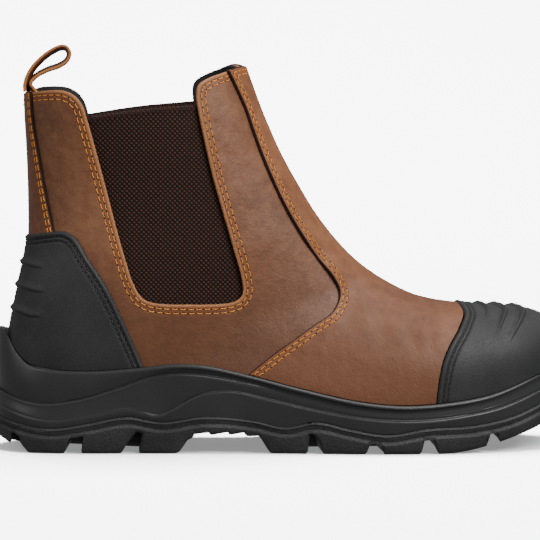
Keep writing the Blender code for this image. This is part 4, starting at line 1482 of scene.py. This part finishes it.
@dataclass
class Shaft:
    """The quarters, their lining, the backstay and the pull loop."""

    finishes: Finishes
    rim: Points
    lap: float = 12.0
    rows: tuple[float, float] = (2.4, 4.6)
    loop_flare: float = 1.3

    def mouth(self) -> Points:
        """Draw the top of the upper: the collar and the two gore windows."""
        return outline(COLLAR_BACK, GORE_BACK, GORE_FOOT, GORE_FRONT, COLLAR_FRONT)

    def make_quarters(self, gold: Seam) -> bpy.types.Object:
        """Make the leather of the quarters, which runs in under the vamp."""
        top = self.mouth()
        seam = outline(VAMP_SEAM) + (self.lap, 0.0)
        lap = seam[seam[:, 1] < 180.0]
        low = rim_under(self.rim)[::-1]
        low = low[low[:, 0] < lap[-1][0] - 1.0]
        ring = np.array([*top, (175.0, 204.0), (175.0, 180.0), *lap, *low])
        sheet = Sheet(Wrap(0.0, 12.5, 0.0, 2 * math.pi, 1.5, 0.0, 5.0))
        sheet.cut(ring)
        sheet.mark("mouth", top)
        sheet.refine(6.0)
        sheet.carve(self.relief)
        for inset in self.rows:
            gold.sew(sheet.rows("mouth", inset))
        sheet.close()
        sheet.turn_in(QUARTER_THICK)
        piece = add_piece("quarters", sheet.mesh, "quarter_leather", self.finishes.quarter)
        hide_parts("upper")
        return piece

    def relief(self, points: Points, border: Points) -> Points:
        """Round the edges of the quarters and sink their rows of stitches."""
        low = rounded(border, 0.7)
        for inset in self.rows:
            low = low - 0.14 * dent(border - inset, 0.5)
        return low

    def make_lining(self) -> bpy.types.Object:
        """Make the textile lining behind all of the leather."""
        ring = np.array([*self.mouth(), (175.0, 204.0), *slab_line(GAP)[::-1]])
        sheet = Sheet(Wrap(0.0, LAST_SECTION, 0.0, 2 * math.pi, 2.6, -WALL, 5.0))
        sheet.cut(ring)
        sheet.close()
        sheet.turn_in(-LINING_THICK)
        bmesh.ops.reverse_faces(sheet.mesh, faces=sheet.mesh.faces)
        return add_piece("lining", sheet.mesh, "footbed", self.finishes.lining)

    def make_backstay(self, gold: Seam) -> bpy.types.Object:
        """Make the strip up the back seam."""
        edge = outline(BACKSTAY_EDGE)
        foot = outline(COUNTER_EDGE) - (0.0, 3.0)
        foot = foot[foot[:, 0] < edge[-1][0]]
        top = outline(COLLAR_BACK)
        top = top[top[:, 0] < edge[0][0]]
        side = edge[(edge[:, 1] < top[-1][1]) & (edge[:, 1] > foot[-1][1])]
        ring = np.array([*top, *side, *foot[::-1]])
        sheet = Sheet(Wrap(0.0, 5.0, 0.72 * math.pi, 1.28 * math.pi, 0.9, GAP + BACKSTAY_THICK, 3.0))
        sheet.cut(ring)
        sheet.mark("side", side)
        sheet.mark("top", top)
        sheet.refine(4.5)
        sheet.carve(self.backstay_relief)
        for inset in (1.7, 3.7):
            gold.sew(sheet.rows("side", inset))
        for inset in self.rows:
            gold.sew(sheet.rows("top", inset + 1.2))
        sheet.turn_in(BACKSTAY_THICK)
        piece = add_piece("backstay_strip", sheet.mesh, "quarter_leather", self.finishes.strip)
        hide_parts("backstay")
        return piece

    def backstay_relief(self, points: Points, border: Points) -> Points:
        """Round the backstay's edges and sink its rows of stitches."""
        return rounded(border, 0.8) - 0.12 * dent(border - 1.7, 0.45) - 0.12 * dent(border - 3.7, 0.45)

    def make_pull_loop(self) -> bpy.types.Object:
        """Make the loop that stands on the back of the collar."""
        places = np.linspace(0, len(STRAP_PATH) - 1, (len(STRAP_PATH) - 1) * 6 + 1)
        middle = smooth(STRAP_PATH, places)
        ahead = smooth(STRAP_PATH, places + 0.05) - smooth(STRAP_PATH, places - 0.05)
        ahead /= np.linalg.norm(ahead, axis=1, keepdims=True)
        points = np.column_stack([middle[:, 0], np.zeros(len(middle)), middle[:, 1]])
        up = np.column_stack([-ahead[:, 1], np.zeros(len(middle)), ahead[:, 0]])
        aside = np.tile((0.0, 1.0, 0.0), (len(middle), 1))
        turns = np.arange(40) * 2 * math.pi / 40
        flat = np.sign(np.cos(turns)) * np.abs(np.cos(turns)) ** 0.35 * STRAP_WIDTH / 2
        thick = np.sign(np.sin(turns)) * np.abs(np.sin(turns)) ** 0.6 * STRAP_THICK / 2
        thick = thick - self.loop_flare * (flat / STRAP_WIDTH + 0.5)
        mesh = sweep(points, aside, up, np.column_stack([flat, thick]))
        border = mesh.verts.layers.float.new("border")
        for vert in mesh.verts:
            vert[border] = STRAP_WIDTH / 2 - abs(vert.co.y) + 0.1
        piece = add_piece("pull_loop_strap", mesh, "vamp_leather", self.finishes.strap)
        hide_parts("pull_loop")
        return piece


def rim_under(rim: Points) -> Points:
    """Give the line that hidden leather runs down to, below the rim."""
    return rim - (0.0, 4.0)


@dataclass
class Front:
    """The vamp and the toe cap."""

    finishes: Finishes
    rim: Points
    rows: tuple[float, float] = (2.3, 4.5)
    cap_rows: tuple[float, float] = (3.2, 5.4)

    def make_vamp(self, gold: Seam) -> bpy.types.Object:
        """Make the leather front."""
        seam = outline(VAMP_SEAM)
        cap = outline(TOE_CAP_EDGE) - (SEAT_GAP, 0.0)
        top = outline(COLLAR_FRONT)
        top = top[top[:, 0] > seam[0][0]]
        ring = np.array([*seam, *cap[::-1], *IN_FRONT, *top[::-1]])
        sheet = Sheet(Wrap(0.0, 15.5, -0.86 * math.pi, 0.86 * math.pi, 1.35, GAP + VAMP_THICK, 9.0))
        sheet.cut(ring)
        sheet.cut(np.array([*rim_over(self.rim), *OVERHEAD]))
        sheet.mark("seam", seam)
        sheet.mark("top", top)
        sheet.refine(6.0)
        sheet.carve(self.vamp_relief)
        for inset in self.rows:
            gold.sew(sheet.rows("seam", inset))
            gold.sew(sheet.rows("top", inset))
        sheet.turn_in(VAMP_THICK + GAP + QUARTER_THICK)
        piece = add_piece("vamp_front", sheet.mesh, "vamp_leather", self.finishes.vamp)
        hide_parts("vamp")
        return piece

    def vamp_relief(self, points: Points, border: Points) -> Points:
        """Round the vamp's edges and sink its rows of stitches."""
        low = rounded(border, 0.9)
        for inset in self.rows:
            low = low - 0.14 * dent(border - inset, 0.5)
        side = points[:, ::2]
        for line, deep, wide in CREASES:
            drawn = outline(line)
            share = share_along(side, drawn)
            fade = np.sin(math.pi * np.clip(share, 0, 1)) ** 0.7
            near = gap_to_line(side, drawn)
            low = low - deep * fade * dent(near, wide) + 0.5 * deep * fade * dent(near - 1.7 * wide, wide)
        return low

    def make_toe_cap(self, black: Seam) -> bpy.types.Object:
        """Make the moulded bumper over the toe."""
        edge = outline(TOE_CAP_EDGE)
        sheet = Sheet(Wrap(11.0, LAST_SECTION - 0.02, -0.9 * math.pi, 0.9 * math.pi, 1.1, GAP + MOULDED_THICK, 14.0))
        sheet.cut(np.array([*edge, *PAST_THE_TOE]))
        sheet.cut(np.array([*rim_over(self.rim), *OVERHEAD]))
        sheet.mark("edge", edge)
        crests = [
            Crest(places, TOE_MIDDLE, 0, rise, wide, 0.8)
            for places, rise, wide in zip(TOE_CRESTS, (1.0, 1.25, 1.3), (1.9, 2.6, 2.8))
        ]
        traced = self.trace(sheet, crests)
        sheet.refine(7.0, crests=traced)
        sheet.refine(0.0, crests=traced)

        def relief(points: Points, border: Points) -> Points:
            """Roll the cap's edge, sink its rows of stitches and raise its crests."""
            lift = guard_border(border, self.cap_rows)
            for crest, line in zip(crests, traced):
                lift = lift + crest.lift(points, line)
            return lift

        sheet.carve(relief)
        for inset in self.cap_rows:
            black.sew(sheet.rows("edge", inset))
        sheet.turn_in(MOULDED_THICK)
        piece = add_piece("toe_bumper", sheet.mesh, "guard_rubber", self.finishes.guard)
        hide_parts("toe_cap")
        return piece

    @staticmethod
    def trace(sheet: Sheet, crests: Sequence[Crest]) -> list[Points]:
        """Lay crests on a sheet, at the height of its skin."""
        surface = BVHTree.FromBMesh(sheet.mesh)
        return [crest.trace(surface) for crest in crests]


def guard_border(border: Points, rows: Sequence[float]) -> Points:
    """Give a guard's rolled edge and the two channels that its stitches lie in."""
    low = rounded(border, 1.2) + 0.45 * dent(border - 1.5, 0.8)
    for inset in rows:
        low = low - 0.45 * dent(border - inset, 0.55)
    return low + 0.15 * dent(border - sum(rows) / 2, 0.5)


def rim_over(rim: Points) -> Points:
    """Give the line that the outer pieces stand on, just over the rim."""
    return rim + (0.0, 0.15)


@dataclass
class Heel:
    """The moulded counter round the heel."""

    finishes: Finishes
    rim: Points
    rows: tuple[float, float] = (3.0, 5.2)

    def make_counter(self, black: Seam) -> bpy.types.Object:
        """Make the counter."""
        edge = outline(COUNTER_EDGE)
        sheet = Sheet(Wrap(3.0, 9.5, 0.38 * math.pi, 1.62 * math.pi, 1.15, GAP + MOULDED_THICK, 6.0))
        sheet.cut(np.array([*edge, BEHIND_THE_HEEL]))
        sheet.cut(np.array([*rim_over(self.rim), *OVERHEAD]))
        sheet.mark("edge", edge)
        crests = [Crest(places, 0.0, 2, 1.3, 1.25, 0.75, 2.4, 0.32) for places in HEEL_CRESTS]
        traced = Front.trace(sheet, crests)
        sheet.refine(7.0, crests=traced)
        sheet.refine(0.0, crests=traced)

        def relief(points: Points, border: Points) -> Points:
            """Roll the counter's edge, sink its rows of stitches and raise its fins."""
            lift = guard_border(border, self.rows)
            for crest, line in zip(crests, traced):
                lift = lift + crest.lift(points, line)
            return lift

        sheet.carve(relief)
        for inset in self.rows:
            black.sew(sheet.rows("edge", inset))
        sheet.turn_in(MOULDED_THICK)
        piece = add_piece("heel_cup", sheet.mesh, "guard_rubber", self.finishes.guard)
        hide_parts("heel_counter")
        return piece


@dataclass
class Gores:
    """The two woven elastic panels behind the windows."""

    finishes: Finishes

    def ring(self) -> tuple[Points, Points]:
        """Draw the panel's outline, wider than its window, and its top edge."""
        window = outline(GORE_BACK, GORE_FOOT, GORE_FRONT)
        away = window - GORE_MIDDLE
        wide = window + away / np.linalg.norm(away, axis=1, keepdims=True) * GORE_LAP
        low = wide[wide[:, 1] < GORE_TOP[0][1] - GAP]
        top = outline(GORE_TOP)
        return np.array([*top, *low[::-1]]), top

    def hem(self, points: Points, border: Points) -> Points:
        """Thicken the panel along its bound top edge."""
        return 0.35 * dent(border - 1.2, 1.1) + rounded(border, 0.5)

    def make(self) -> None:
        """Make both panels."""
        sides = {"gore_outer": (0.12, 0.88), "gore_inner": (1.12, 1.88)}
        for node, (start, end) in sides.items():
            sheet = Sheet(Wrap(0.3, 8.5, start * math.pi, end * math.pi, 1.8, -WALL - GAP, 4.0))
            ring, top = self.ring()
            sheet.cut(ring)
            sheet.mark("top", top)
            sheet.refine(4.0)
            sheet.carve(self.hem)
            sheet.double(GORE_THICK)
            piece = add_piece(node + "_web", sheet.mesh, "elastic", self.finishes.elastic)
            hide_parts(node)


@dataclass
class Studio:
    """The pale floor, the soft lights and the camera at the photograph's angle."""

    place: tuple[float, float, float] = (-0.08625, -1.199, 0.135)
    aim: tuple[float, float, float] = (-0.00925, 0.001, 0.093)
    lens: float = 150.4
    glow: float = 5.7
    near_glow: float = 0.05

    def add_camera(self) -> None:
        """Aim the camera."""
        data = bpy.data.cameras.new("camera")
        data.lens = self.lens
        data.sensor_width = 36.0
        camera = bpy.data.objects.new("camera", data)
        bpy.context.scene.collection.objects.link(camera)
        camera.location = self.place
        way = Vector(self.aim) - Vector(self.place)
        camera.rotation_euler = way.to_track_quat("-Z", "Y").to_euler()
        bpy.context.scene.camera = camera

    def add_light(self, name: str, place: tuple, size: float, power: float) -> bpy.types.Object:
        """Add a soft square light that faces the boot."""
        data = bpy.data.lights.new(name, "AREA")
        data.shape = "SQUARE"
        data.size = size
        data.energy = power
        light = bpy.data.objects.new(name, data)
        bpy.context.scene.collection.objects.link(light)
        light.location = place
        way = Vector((0.0, 0.0, 0.08)) - Vector(place)
        light.rotation_euler = way.to_track_quat("-Z", "Y").to_euler()
        return light

    def add_floor(self) -> None:
        """Lay a pale floor that bends up behind the boot."""
        mesh = bmesh.new()
        bmesh.ops.create_grid(mesh, x_segments=2, y_segments=40, size=0.5)
        for vert in mesh.verts:
            place = (vert.co.y + 0.5) * 9.0 - 4.0
            bend = min(max(place - 2.0, 0.0) / 1.6, math.pi / 2)
            straight = max(place - 2.0 - 1.6 * math.pi / 2, 0.0)
            vert.co = (
                vert.co.x * 14.0,
                min(place, 2.0) + 1.6 * math.sin(bend),
                1.6 * (1 - math.cos(bend)) + straight,
            )
        data = bpy.data.meshes.new("floor")
        mesh.to_mesh(data)
        mesh.free()
        data.shade_smooth()
        floor = bpy.data.objects.new("floor", data)
        bpy.context.scene.collection.objects.link(floor)
        tree = MaterialTree("pale_floor")
        tree.dress((0.83, 0.83, 0.83), 0.9, None, specular_ior_level=0.0, emission_strength=self.glow)
        far = tree.axes()[1].between(0.1, 3.2, self.near_glow, 1.0)
        shine = tree.blend((0.0, 0.0, 0.0), (0.985, 0.99, 1.0), far)
        tree.links.new(shine.socket, tree.shader.inputs["Emission Color"])
        data.materials.append(tree.material)
        floor.visible_diffuse = False
        floor.visible_glossy = False
        self.floor = floor

    def set_up(self) -> None:
        """Set up the studio."""
        self.add_camera()
        self.add_floor()
        self.add_light("key", (0.80, -1.10, 1.25), 0.9, 40.0)
        self.add_light("fill", (-1.5, -0.7, 1.1), 1.0, 9.0)
        self.add_light("top", (0.35, 0.1, 1.5), 0.9, 14.0)
        wash = self.add_light("floor_wash", (0.0, 0.6, 2.6), 1.7, 560.0)
        lit = bpy.data.collections.new("lit_by_the_wash")
        lit.objects.link(self.floor)
        wash.light_linking.receiver_collection = lit
        world = bpy.data.worlds.new("studio")
        bpy.context.scene.world = world
        world.use_nodes = True
        world.node_tree.nodes["Background"].inputs[0].default_value = (1.0, 1.0, 1.0, 1.0)
        world.node_tree.nodes["Background"].inputs[1].default_value = 0.30


def redress(node: str, material: bpy.types.Material) -> None:
    """Give a solid that stays as it is a better material."""
    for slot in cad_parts[node].material_slots:
        slot.material = material


def main() -> None:
    """Build the boot's pieces in order and set up the studio."""
    logging.basicConfig(level=logging.INFO, format="%(message)s")
    finishes = Finishes()
    gold = Seam("gold_stitches", finishes.gold_thread, finishes.needle_hole)
    black = Seam("black_stitches", finishes.black_thread, finishes.needle_hole, pitch=3.2, bow=0.1)
    sole = Sole()
    rim = rim_line(0.0, sole.rim())
    sole.make_midsole(finishes)
    sole.make_outsole(finishes)
    shaft = Shaft(finishes, rim)
    shaft.make_quarters(gold)
    shaft.make_lining()
    shaft.make_backstay(gold)
    shaft.make_pull_loop()
    front = Front(finishes, rim)
    front.make_vamp(gold)
    front.make_toe_cap(black)
    Heel(finishes, rim).make_counter(black)
    Gores(finishes).make()
    gold.finish("vamp_leather")
    black.finish("guard_rubber")
    redress("insole", finishes.footbed)
    Studio().set_up()


if __name__ == "__main__":
    main()
